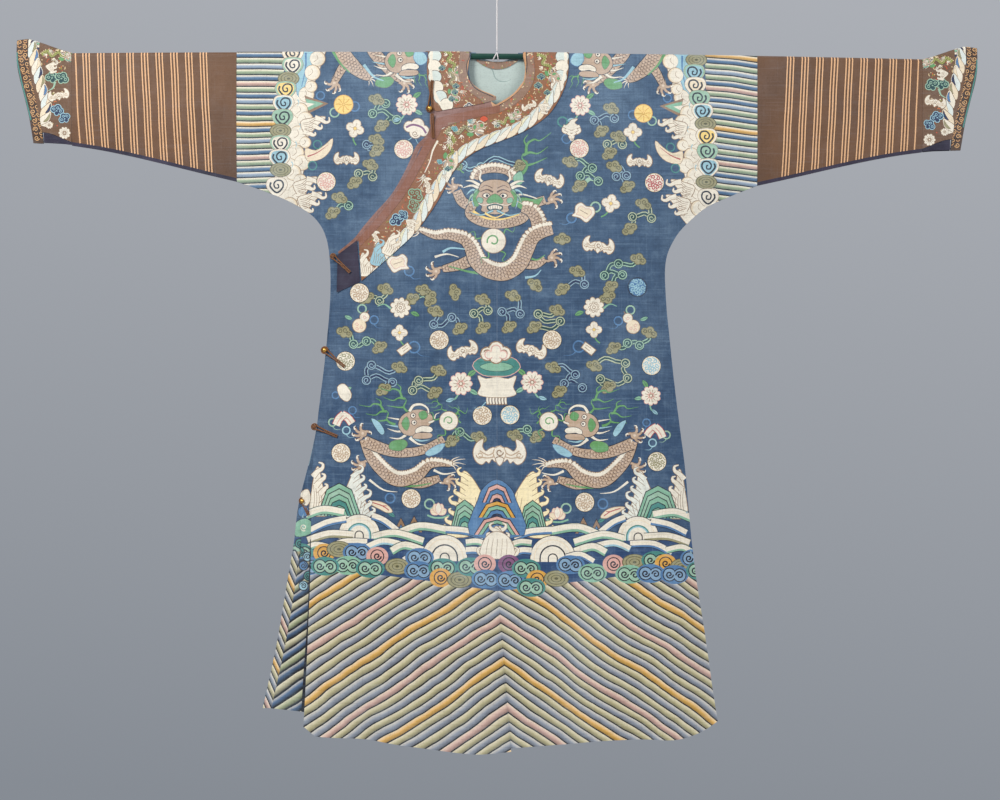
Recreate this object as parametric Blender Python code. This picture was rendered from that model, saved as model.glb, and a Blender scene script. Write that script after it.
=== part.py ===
"""A Chinese dragon robe, hung flat on a rod that runs through its sleeves.

The robe is two lengths of silk that go over the shoulders, each here a front and a back parted
along the shoulder fold, with a second right front that laps over the first and buttons at the
side. Striped sleeves with flared cuffs are sewn on, and a banded collar goes round the neck and
down the lapped edge. Left and right are the wearer's: left is at +X. The front faces -Y.

Sizes are in millimetres. A place on the robe is an x, and a drop below the axis of the rod.
"""

import math

import bmesh
import bpy
from mathutils import Vector

MM = 0.001

# Cloth, seams and layers
WALL = 1.6  # silk, interlining and silk lining together
SEAM = 0.3  # between two pieces sewn edge to edge
BAND_WALL = 1.2  # collar, bindings and facings, single and stiffened
BAND_GAP = 0.6  # under a band that lies on a panel
TRIM_GAP = 0.5  # under a loop or a button

# The rod, and the cord that it hangs by
ROD_RADIUS = 6.0
ROD_LENGTH = 1680.0
ROD_DROP = 150.0  # from the bight of the hanging loop down to the rod's axis
ROD_TILT = 0.0078  # it hangs a little lower at the wearer's left
ROD_SAG = 7.0  # how far each half bends down under the sleeves, at the cuffs' seams
CORD_RADIUS = 1.5
CORD_KNOT_RISE = 118.0  # above the rod's axis, just outside the photo
KNOT_RADIUS = 3.6

ON_ROD = ROD_RADIUS + SEAM + WALL  # radius of the cloth's outside over the rod
ARCH = (90.0, 67.5, 45.0, 22.5)  # degrees above the rod's level, the rows over the rod

# How full the robe hangs: the outside's distance from its middle plane
CHEST_DEPTH = 17.0
HEM_DEPTH = 25.0
SLEEVE_DEPTH = 12.0
DEPTH_RUN = 110.0  # drop in which the fullness comes in
SEAM_RUN = 38.0  # way in from a side seam in which it comes in
SEAM_DEPTH = WALL + SEAM / 2

JOINT_X = 520.0  # where the striped sleeve is sewn to the body
CUFF_X = 850.0  # where the cuff is sewn to the sleeve

# Side seams from the sleeve joint down to the hem
LEFT_SIDE = [  # x, drop
    (520, 252), (462, 276), (425, 293), (400, 312), (385, 325), (369, 342), (354, 362),
    (344, 381), (338, 403), (336, 437), (338, 487), (344, 551), (354, 647), (366, 743),
    (378, 839), (386, 935), (397, 1031), (412, 1127), (426, 1223), (436, 1295), (441, 1323),
]
RIGHT_SIDE = [  # x to the wearer's right, drop
    (520, 252), (460, 273), (430, 284), (402, 299), (381, 312), (361, 328), (346, 352),
    (337, 378), (334, 419), (333, 469), (334, 523), (342, 579), (346, 625), (352, 677),
    (360, 740), (369, 787), (385, 847), (396, 890), (400, 935), (407, 980), (416, 1033),
    (425, 1087), (439, 1169), (448, 1217), (459, 1259), (468, 1295),
]
SLEEVE_UNDER = [(520, 252), (850, 178), (880, 175), (960, 171)]  # x, drop

# The right side seam comes round to the front below the hip
RIGHT_SEAM = [(740, 0), (787, 1), (880, 5), (1007, 17), (1155, 18), (1301, 18)]  # drop, way in
FOLD_TOP = 800.0  # where that folded edge of the back starts to show

CENTRE = [(0, 0), (1060, 0), (1200, 11), (1392, 29)]  # drop, x of the front's middle seam

NECK_FRONT = [  # drop, half the opening's width
    (0, 52), (20, 55.5), (36, 56.5), (48, 54), (62, 46), (76, 32), (88, 15), (97, 0),
]
NECK_BACK = [(-8, 50), (0, 42), (3, 30), (6, 17), (8, 0)]

# The lapped front's edge, from the pit of the neck to the underarm, and its free side below it
LAP_EDGE = [  # x to the wearer's right, drop
    (0, 97), (40, 107), (80, 114), (121, 122), (126, 134), (136, 152), (154, 184), (172, 220),
    (195, 262), (215, 290), (236, 317), (256, 341), (279, 365), (304, 386), (322, 398),
]
LAP_SIDE = [  # drop, x to the wearer's right
    (0, 322), (398, 322), (481, 326), (527, 330), (579, 340), (625, 346), (717, 356),
    (787, 366), (887, 370), (1007, 371), (1127, 375), (1247, 380), (1345, 385),
]

FRONT_HEM_RIGHT = [  # x, drop
    (-385, 1337), (-379, 1350), (-361, 1357), (-330, 1359), (-270, 1361), (-208, 1372),
    (-146, 1380), (-86, 1388), (-40, 1392), (29, 1386),
]
FRONT_HEM_LEFT = [
    (28, 1379), (71, 1375), (145, 1369), (218, 1362), (292, 1359), (345, 1361), (389, 1351),
    (415, 1340), (441, 1323),
]
BACK_HEM = [
    (-468, 1295), (-450, 1303), (-420, 1308), (-385, 1312), (-330, 1340), (-240, 1362),
    (-120, 1377),
    (0, 1384), (120, 1379), (240, 1364), (345, 1358), (395, 1346), (441, 1322),
]
FLAP_HEM = [(-460, 1303), (-420, 1306), (-300, 1318), (0, 1330)]
FLAP_EDGE = -4.0  # the under front ends just short of the middle seam

LAP_LEVEL = 475.0  # the lap's edge and the underarm are all above this drop

# Layers at the front: how far the lapped front stands off the one under it
LAP_LIFT = WALL + 0.9
LAP_HANG = 4.5  # more of it at the hem, where both hang free

# Soft folds of the hanging cloth
FRONT_FOLDS = [  # x at the hem, x at its top, drop of its top, width, height
    (-325, -300, 820, 42, 6.0),
    (-165, -150, 900, 50, 4.0),
    (70, 60, 950, 52, 3.5),
    (232, 190, 760, 55, 6.5),
    (372, 330, 880, 40, 4.5),
    (-282, -322, 560, 34, 3.6),
]
BACK_FOLDS = [
    (-330, -280, 700, 50, 6.0),
    (-150, -120, 800, 55, 6.5),
    (20, 0, 900, 45, 4.0),
    (190, 150, 720, 55, 6.5),
    (350, 300, 850, 45, 5.0),
]

# The collar: its inner edge follows the neck and the lap, its outer edge is the rope border
COLLAR = [  # inner x, inner drop, outer x, outer drop
    (54, 2, 143, 2), (57, 20, 143, 26), (58, 36, 139, 50), (56, 49, 131, 72),
    (48, 64, 119, 95), (34, 79, 103, 117), (16, 92, 78, 137), (0, 100, 50, 153),
    (-22, 105, 20, 166), (-46, 110, -6, 176), (-72, 115, -34, 188), (-98, 120, -58, 203),
    (-118, 126, -78, 222), (-130, 150, -93, 243), (-147, 180, -104, 266),
    (-167, 218, -117, 290), (-190, 260, -138, 322), (-211, 289, -165, 357),
    (-233, 318, -202, 392), (-255, 344, -238, 424), (-276, 367, -270, 451),
]
PLAIN_SHARE = 0.21  # of the collar's width, the plain band at its inner edge
SEAM_SHARE = 0.005  # of that width, the seam between the two
COLLAR_LEFT_EDGE = [(0, 138), (18, 140), (46, 137), (76, 131), (100, 124), (116, 113)]  # drop, x
UNDER_COLLAR_FOOT = 9.0  # it stops this far above the lap's edge

# Ball buttons, each in the bight of a doubled cord loop
FASTENINGS = [  # ball x, ball drop, ball radius, loop's far end x and drop, what they lie on
    (-134, 107, 5.0, -129, 50, "under band"),
    (-327, 402, 3.6, -293, 434, "lap band"),
    (-344, 589, 5.0, -304, 622, "lap"),
    (-364, 742, 4.4, -318, 761, "lap"),
    (-389, 890, 4.4, -376, 918, "under"),
]
LOOP_RADIUS = 1.3
LOOP_SPREAD = 1.7  # half the distance between the loop's two strands
BIGHT_SLACK = 0.75  # between a ball and the bight round it
NECK_TAB = [(-129, 120), (-127.5, 143), (-127, 166)]  # the neck button's own doubled cord: x, drop

# Flared cuffs
CROWN = [(0, 0), (850, 0), (874, 7), (904, 18), (922, 24), (938, 28), (960, 26)]  # x, rise
CUFF_END = [(-36, 959), (7, 959), (67, 947), (117, 935), (176, 926)]  # drop, x
BINDING_WIDTH = [(-36, 23), (176, 20)]  # drop, width
CUFF_FOOT = [(850, 171), (906, 151), (960, 148)]  # x, drop of the patterned cuff's lower edge
UNDER_CUFF_FOLD = 3.0  # half the depth of the fold at the cuff's underside

LINING_HALF = 105.0
LINING_FOOT = 205.0

COLOURS = {  # colour, roughness, metallic
    "blue silk": ((0.055, 0.115, 0.25), 0.62, 0.0),
    "under silk": ((0.05, 0.10, 0.21), 0.62, 0.0),
    "striped silk": ((0.16, 0.105, 0.075), 0.55, 0.0),
    "brown brocade": ((0.25, 0.145, 0.085), 0.58, 0.0),
    "plain band": ((0.21, 0.10, 0.06), 0.6, 0.0),
    "navy silk": ((0.03, 0.03, 0.07), 0.6, 0.0),
    "pale lining": ((0.5, 0.66, 0.7), 0.6, 0.0),
    "gilt brass": ((0.72, 0.5, 0.17), 0.3, 1.0),
    "brown cord": ((0.27, 0.13, 0.07), 0.7, 0.0),
    "green paint": ((0.02, 0.13, 0.12), 0.35, 0.0),
    "white cord": ((0.85, 0.85, 0.84), 0.7, 0.0),
}


def read(table, at, key=0, value=1):
    """A table's value at a place between its rows, by a curve that doesn't overshoot."""
    rows = sorted(table, key=lambda row: row[key])
    if at <= rows[0][key]:
        return rows[0][value]
    if at >= rows[-1][key]:
        return rows[-1][value]
    k = next(i for i in range(len(rows) - 1) if rows[i + 1][key] > at)
    slopes = []
    for i in range(len(rows) - 1):
        run = rows[i + 1][key] - rows[i][key]
        slopes.append((rows[i + 1][value] - rows[i][value]) / run)

    def tangent(i):
        if i == 0 or i == len(slopes):
            return slopes[min(i, len(slopes) - 1)]
        before, after = slopes[i - 1], slopes[i]
        return 0.0 if before * after <= 0 else 2 * before * after / (before + after)

    run = rows[k + 1][key] - rows[k][key]
    t = (at - rows[k][key]) / run
    start, end = rows[k][value], rows[k + 1][value]
    return (
        start * (2 * t**3 - 3 * t**2 + 1)
        + end * (3 * t**2 - 2 * t**3)
        + tangent(k) * run * (t**3 - 2 * t**2 + t)
        + tangent(k + 1) * run * (t**3 - t**2)
    )


def ease(t):
    """0 below 0, 1 above 1, and a smooth rise between."""
    t = max(0.0, min(1.0, t))
    return t * t * (3 - 2 * t)


def to_line(x, drop, line):
    """The distance from a place to a line of straight stretches."""
    here = Vector((x, drop))
    nearest = 1e9
    for a, b in zip(line, line[1:]):
        start, way = Vector(a), Vector(b) - Vector(a)
        along = max(0.0, min(1.0, (here - start).dot(way) / way.length_squared))
        nearest = min(nearest, (here - start - way * along).length)
    return nearest


def rod_line(x):
    """The rod's axis above its middle: it tilts and bends a little."""
    return -ROD_TILT * x - ROD_SAG * (x / CUFF_X) ** 2


def flare(x):
    """How far a cuff's top fold stands above its level on the rod."""
    return read(CROWN, abs(x))


def spot(x, y, drop):
    """The point at a place on the robe, at depth y."""
    return Vector((x, y, rod_line(x) - drop - ROD_DROP)) * MM


def half_depth(x, drop):
    """The outside of the hanging cloth, measured from the robe's middle plane."""
    side = LEFT_SIDE if x > 0 else RIGHT_SIDE
    seam = list(reversed(SLEEVE_UNDER)) + side[1:]
    in_sleeve = ease((abs(x) - 300) / (JOINT_X - 300)) * ease((420 - drop) / 200)
    body = CHEST_DEPTH + (HEM_DEPTH - CHEST_DEPTH) * ease(drop / 1350)
    full = body + (SLEEVE_DEPTH - body) * in_sleeve
    full = ON_ROD + (full - ON_ROD) * (1 - math.exp(-max(0.0, drop) / DEPTH_RUN))
    way_in = to_line(abs(x), drop - flare(x), seam)
    return SEAM_DEPTH + (full - SEAM_DEPTH) * (1 - math.exp(-way_in / SEAM_RUN))


def folds(x, drop, table):
    """How far the soft folds push the cloth out."""
    out = 0.0
    for hem_x, top_x, top_drop, width, height in table:
        fall = (drop - top_drop) / (1380 - top_drop)
        middle = top_x + (hem_x - top_x) * fall
        out += height * ease(fall * 1.4) * math.exp(-(((x - middle) / width) ** 2))
    return out


def outer_lift(x, drop):
    """How far the outer front lies over the under one: all of it on the right, and on the left
    only near the middle seam that joins it to the lap."""
    hang = LAP_HANG * ease((drop - 450) / 850)
    if x <= 0:
        return LAP_LIFT + hang + folds(x, drop, FRONT_FOLDS)
    near = ease((drop - 14) / 70) * (1 - ease((x - 60) / 260))
    closing = 1 - math.exp(-to_line(x, drop, LEFT_SIDE) / SEAM_RUN)
    free = (hang * (1 - ease((x - 60) / 260)) + folds(x, drop, FRONT_FOLDS)) * closing
    return LAP_LIFT * near + free


def no_lift(x, drop):
    return 0.0


def back_lift(x, drop):
    side = LEFT_SIDE if x > 0 else RIGHT_SIDE
    closing = 1 - math.exp(-to_line(abs(x), drop, side) / SEAM_RUN)
    return folds(x, drop, BACK_FOLDS) * closing


def on_cloth(x, drop, side, lift=0.0, inset=0.0):
    """A point on the robe: side -1 is the front and +1 the back, lift moves it outwards and
    inset back into the wall. A drop above 0 is below the rod, and one below 0 is over it."""
    if drop < 0:
        angle = math.asin(min(1.0, -drop / ON_ROD))
        reach = ON_ROD + lift - inset
        y, level = reach * math.cos(angle), -reach * math.sin(angle)
    else:
        y, level = half_depth(x, drop) + lift - inset, drop
    return spot(x, side * max(y, SEAM / 2), level - flare(x))


def arch_rows():
    return [-ON_ROD * math.sin(math.radians(angle)) for angle in ARCH]


def spread(start, end, count):
    return [start + (end - start) * i / count for i in range(count + 1)]


def material(name):
    found = bpy.data.materials.get(name)
    if found:
        return found
    colour, roughness, metallic = COLOURS[name]
    made = bpy.data.materials.new(name)
    made.use_nodes = True
    shader = made.node_tree.nodes["Principled BSDF"]
    shader.inputs["Base Color"].default_value = (*colour, 1.0)
    shader.inputs["Roughness"].default_value = roughness
    shader.inputs["Metallic"].default_value = metallic
    return made


def keep(name, mesh, finish):
    mesh.materials.append(material(finish))
    mesh.shade_smooth()
    mesh.set_sharp_from_angle(angle=math.radians(40))
    made = bpy.data.objects.new(name, mesh)
    bpy.context.scene.collection.objects.link(made)
    return made


def wall(name, across, down, place, finish):
    """A cloth wall: a grid, extruded into a second skin, with place(i, k, inner) for each point.
    i counts across and k down, and inner is 0 on the outside and 1 on the inside."""
    shape = bmesh.new()
    bmesh.ops.create_grid(shape, x_segments=across, y_segments=down, size=1.0)
    skin = bmesh.ops.extrude_face_region(shape, geom=shape.faces[:], use_keep_orig=True)
    for part in skin["geom"]:
        if isinstance(part, bmesh.types.BMVert):
            part.co.z = 1.0
    for vert in shape.verts:
        i = round((vert.co.x + 1) / 2 * across)
        k = round((vert.co.y + 1) / 2 * down)
        vert.co = place(i, k, round(vert.co.z))
    bmesh.ops.recalc_face_normals(shape, faces=shape.faces[:])
    mesh = bpy.data.meshes.new(name)
    shape.to_mesh(mesh)
    shape.free()
    return keep(name, mesh, finish)


def columns(inner_x, outer_x, count):
    """Columns across a panel, closer together towards the side seam."""
    steps = [1 - (1 - i / count) ** 1.35 for i in range(count + 1)]
    return [inner_x + (outer_x - inner_x) * step for step in steps]


BODY_ROWS = [
    0, 12, 28, 50, 76, 97, 125, 160, 200, 230, 252, 274, 296, 322, 355, 402, 475, 560, 650,
    740, 820, 900, 975, 1050, 1125, 1200, 1275, 1350,
]
HEM_ROWS_FROM, HEM_ROWS = 1050.0, 300.0  # rows below this drop follow the hem


def side_x(side, drop):
    """The side seam's x at a drop, and the sleeve joint's above the seam."""
    table = LEFT_SIDE if side > 0 else RIGHT_SIDE
    if drop <= 252:
        return JOINT_X - SEAM / 2
    return read(table, drop, key=1, value=0)


def seam_x(drop):
    """The right side seam where the under front ends."""
    return side_x(-1, drop) - read(RIGHT_SEAM, drop)


def hung(nominal, foot):
    """A row's drop: the lowest rows close up or open out to end at the hem."""
    if nominal <= HEM_ROWS_FROM:
        return nominal
    return HEM_ROWS_FROM + (nominal - HEM_ROWS_FROM) * (foot - HEM_ROWS_FROM) / HEM_ROWS


def body_panel(name, side, face, inner_edge, outer_edge, hem, lift, finish, count=10):
    """A front or back from the shoulder fold to the hem. side is +1 for the wearer's left, and
    face -1 for the front. inner_edge and outer_edge give x at a drop, hem the drop at an x."""
    rows = arch_rows() + BODY_ROWS

    def place(i, k, inner):
        drop = rows[k]
        for _ in range(4):
            x = columns(inner_edge(max(drop, 0)), outer_edge(max(drop, 0)), count)[i]
            drop = hung(rows[k], hem(side * x))
        return on_cloth(side * x, drop, face, lift(side * x, drop), inner * WALL)

    return wall(name, count, len(rows) - 1, place, finish)


def make_body():
    def left_inner(drop):
        if drop < 97:
            return read(NECK_FRONT, drop)
        return read(CENTRE, drop) + SEAM / 2

    def flap_inner(drop):
        return max(read(NECK_FRONT, drop) if drop < 97 else 0.0, -FLAP_EDGE)

    def back_inner(drop):
        return max(read(NECK_BACK, drop) if drop < NECK_BACK[-1][0] else 0.0, SEAM / 2)

    body_panel(
        "front_left", 1, -1, left_inner, lambda d: side_x(1, d),
        lambda x: read(FRONT_HEM_LEFT, x), outer_lift, "blue silk", count=14,
    )
    body_panel(
        "front_right", -1, -1, flap_inner, seam_x,
        lambda x: read(FLAP_HEM, x), no_lift, "under silk",
    )
    for side, name in ((1, "back_left"), (-1, "back_right")):
        body_panel(
            name, side, 1, back_inner, lambda d, s=side: side_x(s, d),
            lambda x: read(BACK_HEM, x), back_lift, "blue silk", count=12,
        )


def make_lap():
    """The outer right front: columns hang from its lapped edge to the hem."""
    tops = [0, 12, 28, 50, 75, 100, 121, 128, 140, 154, 172, 195, 215, 236, 258, 281, 303, 322]
    level = [drop for drop in BODY_ROWS if drop > LAP_LEVEL]
    above = 7

    def place(i, k, inner):
        share = tops[i] / tops[-1]
        top = read(LAP_EDGE, tops[i])
        x = -tops[i]
        for _ in range(4):
            if k <= above:
                drop = top + (LAP_LEVEL - top) * k / above
            else:
                drop = hung(level[k - above - 1], read(FRONT_HEM_RIGHT, x))
            middle = read(CENTRE, drop) - SEAM / 2
            x = middle + (-read(LAP_SIDE, drop) - middle) * share
        return on_cloth(x, drop, -1, outer_lift(min(x, 0), drop), inner * WALL)

    wall("front_overlap", len(tops) - 1, above + len(level), place, "blue silk")


def make_side_fold():
    """The back's right edge, folded round to the front below the hip."""
    rows = [drop for drop in BODY_ROWS if drop > FOLD_TOP]

    def place(i, k, inner):
        drop = rows[k]
        for _ in range(4):
            seam = seam_x(drop)
            drop = hung(rows[k], read(FLAP_HEM, -seam))
        x = seam + SEAM + (side_x(-1, drop) - seam - SEAM) * i / 3
        return on_cloth(-x, drop, -1, 0.0, inner * WALL)

    wall("back_right_fold", 3, len(rows) - 1, place, "blue silk")


def around(foot_drop, flat_rows):
    """Rows of a folded piece from its front lower edge, over the fold, to its back lower edge:
    pairs of side and drop, where a foot drop may depend on x."""
    down = [0.0] + [foot_drop * (j / flat_rows) ** 0.9 for j in range(1, flat_rows + 1)]
    front = [(-1, d) for d in reversed(down)] + [(-1, d) for d in reversed(arch_rows()[1:])]
    back = [(1, d) for d in arch_rows()[1:]] + [(1, d) for d in down]
    return front + [(0, -ON_ROD)] + back


def folded_piece(name, side, rows_at, x_at, along, finish):
    """A sleeve or cuff: one cloth folded over the top and seamed along its underside."""
    count = len(rows_at(CUFF_X)) - 1

    def place(i, k, inner):
        x = x_at(i, 60.0)
        for _ in range(4):
            face, drop = rows_at(x)[k]
            x = x_at(i, drop - flare(x))
        point = on_cloth(side * x, drop, face or 1, 0.0, inner * WALL)
        if face == 0:
            point.y = 0.0
        return point

    wall(name, along, count, place, finish)


def make_sleeves():
    for side, end in ((1, "left"), (-1, "right")):
        start, stop = JOINT_X + SEAM / 2, CUFF_X - SEAM / 2

        def sleeve_rows(x):
            return around(read(SLEEVE_UNDER, x), 7)

        def sleeve_x(i, drop, start=start, stop=stop):
            return start + (stop - start) * i / 6

        folded_piece(f"sleeve_{end}", side, sleeve_rows, sleeve_x, 6, "striped silk")

        def cuff_rows(x):
            return around(read(CUFF_FOOT, x) + flare(x), 6)

        def binding_inner(drop):
            return read(CUFF_END, drop) - read(BINDING_WIDTH, drop)

        def cuff_x(i, drop):
            start_x = CUFF_X + SEAM / 2
            return start_x + (binding_inner(drop) - SEAM - start_x) * i / 4

        folded_piece(f"cuff_{end}", side, cuff_rows, cuff_x, 4, "brown brocade")

        def edge_rows(x):
            return around(read(SLEEVE_UNDER, x) + flare(x), 7)

        def edge_x(i, drop):
            return binding_inner(drop) + read(BINDING_WIDTH, drop) * i / 2

        folded_piece(f"cuff_binding_{end}", side, edge_rows, edge_x, 2, "plain band")
        make_under_cuff(side, end, binding_inner)


def make_under_cuff(side, end, binding_inner):
    """The plain gusset at the cuff's underside, folded along its bottom."""
    turn = (0.0, 30.0, 60.0, 90.0, 120.0, 150.0, 180.0)
    flat = 2

    def place(i, k, inner):
        x = start_x = CUFF_X + 1
        for _ in range(3):
            foot = read(SLEEVE_UNDER, x) - UNDER_CUFF_FOLD
            x = start_x + (binding_inner(foot) - 4 * SEAM - start_x) * i / 4
        head = read(CUFF_FOOT, x) + SEAM
        head = min(head, foot - 1.0)
        edge = half_depth(side * x, head + flare(x))
        if flat <= k <= flat + 6:
            angle = math.radians(turn[k - flat])
            reach = UNDER_CUFF_FOLD - inner * WALL
            y, drop = -reach * math.cos(angle), foot + reach * math.sin(angle)
        else:
            out = (flat - k if k < flat else k - flat - 6) / flat
            face = -1 if k < flat else 1
            depth = UNDER_CUFF_FOLD + (max(edge, UNDER_CUFF_FOLD) - UNDER_CUFF_FOLD) * out
            y, drop = face * (depth - inner * WALL), foot + (head - foot) * out
        return spot(side * x, y, drop)

    wall(f"under_cuff_{end}", 4, 2 * flat + 6, place, "navy silk")


def band_place(stations, shares):
    """A place function for a band on the outer front: stations run along it, shares across."""

    def place(i, k, inner):
        inner_x, inner_drop, outer_x, outer_drop = stations[k]
        share = shares[i]
        x = inner_x + (outer_x - inner_x) * share
        drop = inner_drop + (outer_drop - inner_drop) * share
        lift = outer_lift(x, drop) + BAND_GAP + BAND_WALL
        return on_cloth(x, drop, -1, lift, inner * BAND_WALL)

    return place


def make_outer_collar():
    """The collar's outer half: over the left shoulder, round the neck and down the lap."""
    over = [(54, drop, 143, drop) for drop in arch_rows()]
    stations = over + COLLAR
    across = spread(PLAIN_SHARE + SEAM_SHARE, 1.0, 4)
    last = len(stations) - 1
    wall("collar_outer", 4, last, band_place(stations, across), "brown brocade")
    wall("band_outer", 1, last, band_place(stations, [0.0, PLAIN_SHARE]), "plain band")


def make_under_collar():
    """The collar's other half, on the right shoulder, which runs in under the lap."""
    rows = arch_rows() + [0, 10, 22, 36, 50, 64, 78, 90, 100, 108]

    def placer(shares):
        def place(i, k, inner):
            level = max(rows[k], 0)
            inner_x = read(NECK_FRONT, level) + 1.5
            x = inner_x + (read(COLLAR_LEFT_EDGE, level) - inner_x) * shares[i]
            foot = read(LAP_EDGE, x) - UNDER_COLLAR_FOOT
            drop = rows[k] if rows[k] <= 0 else rows[k] * foot / rows[-1]
            return on_cloth(-x, drop, -1, BAND_GAP + BAND_WALL, inner * BAND_WALL)

        return place

    split = PLAIN_SHARE + 0.03
    across = spread(split + SEAM_SHARE, 1.0, 4)
    wall("collar_inner", 4, len(rows) - 1, placer(across), "brown brocade")
    wall("band_inner", 1, len(rows) - 1, placer([0.0, split]), "plain band")


def make_back_collar():
    """The collar across the back of the neck, one piece from shoulder to shoulder."""
    over = list(arch_rows())
    count = 14
    turn = spread(0.0, math.pi, count)

    def station(k):
        if k < len(over):
            return (52, over[k], 143, over[k])
        if k > len(over) + count:
            drop = over[len(over) - (k - len(over) - count)]
            return (-52, drop, -143, drop)
        angle = turn[k - len(over)]
        along, dip = math.cos(angle), math.sin(angle)
        return (
            52 * along, 1 + 8 * dip, 143 * along, 1 + 118 * dip**0.8,
        )

    def placer(shares):
        def place(i, k, inner):
            inner_x, inner_drop, outer_x, outer_drop = station(k)
            x = inner_x + (outer_x - inner_x) * shares[i]
            drop = inner_drop + (outer_drop - inner_drop) * shares[i]
            lift = back_lift(x, drop) + BAND_GAP + BAND_WALL
            return on_cloth(x, drop, 1, lift, inner * BAND_WALL)

        return place

    last = 2 * len(over) + count
    across = spread(PLAIN_SHARE + SEAM_SHARE, 1.0, 4)
    wall("collar_back", 4, last, placer(across), "brown brocade")
    wall("band_back", 1, last, placer([0.0, PLAIN_SHARE]), "plain band")


def make_lap_end():
    """The plain silk at the end of the lap, between the collar and the underarm."""
    corners = [(-279, 370), (-318, 399), (-320, 474), (-273, 453)]  # x, drop, going round

    def place(i, k, inner):
        across, down = i / 3, k / 4
        top = [corners[0][n] + (corners[1][n] - corners[0][n]) * across for n in (0, 1)]
        foot = [corners[3][n] + (corners[2][n] - corners[3][n]) * across for n in (0, 1)]
        x, drop = (top[n] + (foot[n] - top[n]) * down for n in (0, 1))
        lift = outer_lift(x, drop) + BAND_GAP + BAND_WALL
        return on_cloth(x, drop, -1, lift, inner * BAND_WALL)

    wall("lap_end", 3, 4, place, "navy silk")


def make_neck_inside():
    """What shows through the neck: the back's pale lining, and the facing at its edge."""
    lining_wall = 1.0
    rows = [0, 8, 20, 40, 65, 95, 130, 165, LINING_FOOT]

    def edge(x):
        return 9.5 * (1 - (x / 62) ** 2) if abs(x) < 62 else 1.0

    def lining(i, k, inner):
        x = LINING_HALF * (2 * i / 10 - 1)
        head = max(edge(x), ROD_RADIUS - 1)
        drop = head + (rows[k] / LINING_FOOT) * (LINING_FOOT - head)
        depth = half_depth(x, drop) + back_lift(x, drop) - WALL - BAND_GAP
        return spot(x, depth - inner * lining_wall, drop)

    wall("lining_yoke", 10, len(rows) - 1, lining, "pale lining")

    def facing(i, k, inner):
        x = 42 * (2 * i / 8 - 1)
        head = max(edge(x), ROD_RADIUS - 1) + 0.5
        drop = head + (2.0 + 13.0 * (1 - (x / 42) ** 2)) * k / 3
        depth = half_depth(x, drop) - WALL - 2 * BAND_GAP - lining_wall
        return spot(x, depth - inner, drop)

    wall("neck_facing", 8, 3, facing, "plain band")


def tube(name, points, radius, finish, rings=2, closed=False):
    curve = bpy.data.curves.new(name, "CURVE")
    curve.dimensions = "3D"
    curve.bevel_depth = radius * MM
    curve.bevel_resolution = rings
    curve.use_fill_caps = not closed
    line = curve.splines.new("POLY")
    line.points.add(len(points) - 1)
    for point, at in zip(line.points, points):
        point.co = (*at, 1.0)
    line.use_cyclic_u = closed
    curve.materials.append(material(finish))
    made = bpy.data.objects.new(name, curve)
    bpy.context.scene.collection.objects.link(made)
    return made


def trim_depth(x, drop, layer):
    """The depth of the surface that a button or loop lies on."""
    lift = {"under": 0.0, "lap": outer_lift(min(x, 0), drop)}
    lift["under band"] = BAND_GAP + BAND_WALL
    lift["lap band"] = lift["lap"] + BAND_GAP + BAND_WALL
    return max(half_depth(x, drop), SEAM_DEPTH) + lift[layer] + TRIM_GAP


def doubled_cord(name, start, end, layer, ball=0.0):
    """Two strands side by side, joined by a bight that goes round a ball at the start."""
    lead = Vector(end) - Vector(start)
    length = lead.length
    lead.normalize()
    across = Vector((-lead.y, lead.x))
    bight = LOOP_SPREAD
    if ball:
        apart = ball + LOOP_RADIUS + SEAM
        bight = math.sqrt(apart**2 - (ball - LOOP_RADIUS) ** 2) + BIGHT_SLACK
    opening = math.asin(LOOP_SPREAD / bight) if ball else math.pi / 2
    route = [(share * length, LOOP_SPREAD) for share in (1.0, 0.75, 0.5) if share * length > bight]
    for angle in spread(opening + 0.5 * (ball > 0), math.pi, 6):
        route.append((bight * math.cos(angle), bight * math.sin(angle)))
    route += [(along, -aside) for along, aside in reversed(route[:-1])]
    points = []
    for along, aside in route:
        x, drop = Vector(start) + lead * along + across * aside
        depth = trim_depth(x, drop, layer) + LOOP_RADIUS
        points.append(spot(x, -depth, drop))
    tube(name, points, LOOP_RADIUS, "brown cord", rings=1)


def make_fastenings():
    """Gilt balls, and the doubled cords whose bights hold them."""
    for n, row in enumerate(FASTENINGS, start=1):
        ball_x, ball_drop, radius, end_x, end_drop, layer = row
        depth = trim_depth(ball_x, ball_drop, layer) + radius
        shape = bmesh.new()
        bmesh.ops.create_uvsphere(shape, u_segments=10, v_segments=6, radius=radius * MM)
        bmesh.ops.translate(shape, verts=shape.verts[:], vec=spot(ball_x, -depth, ball_drop))
        mesh = bpy.data.meshes.new(f"button_{n}")
        shape.to_mesh(mesh)
        shape.free()
        keep(f"button_{n}", mesh, "gilt brass")
        doubled_cord(f"loop_{n}", (ball_x, ball_drop), (end_x, end_drop), layer, radius)
    doubled_cord("neck_tab", NECK_TAB[0], NECK_TAB[-1], "lap band")


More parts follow.
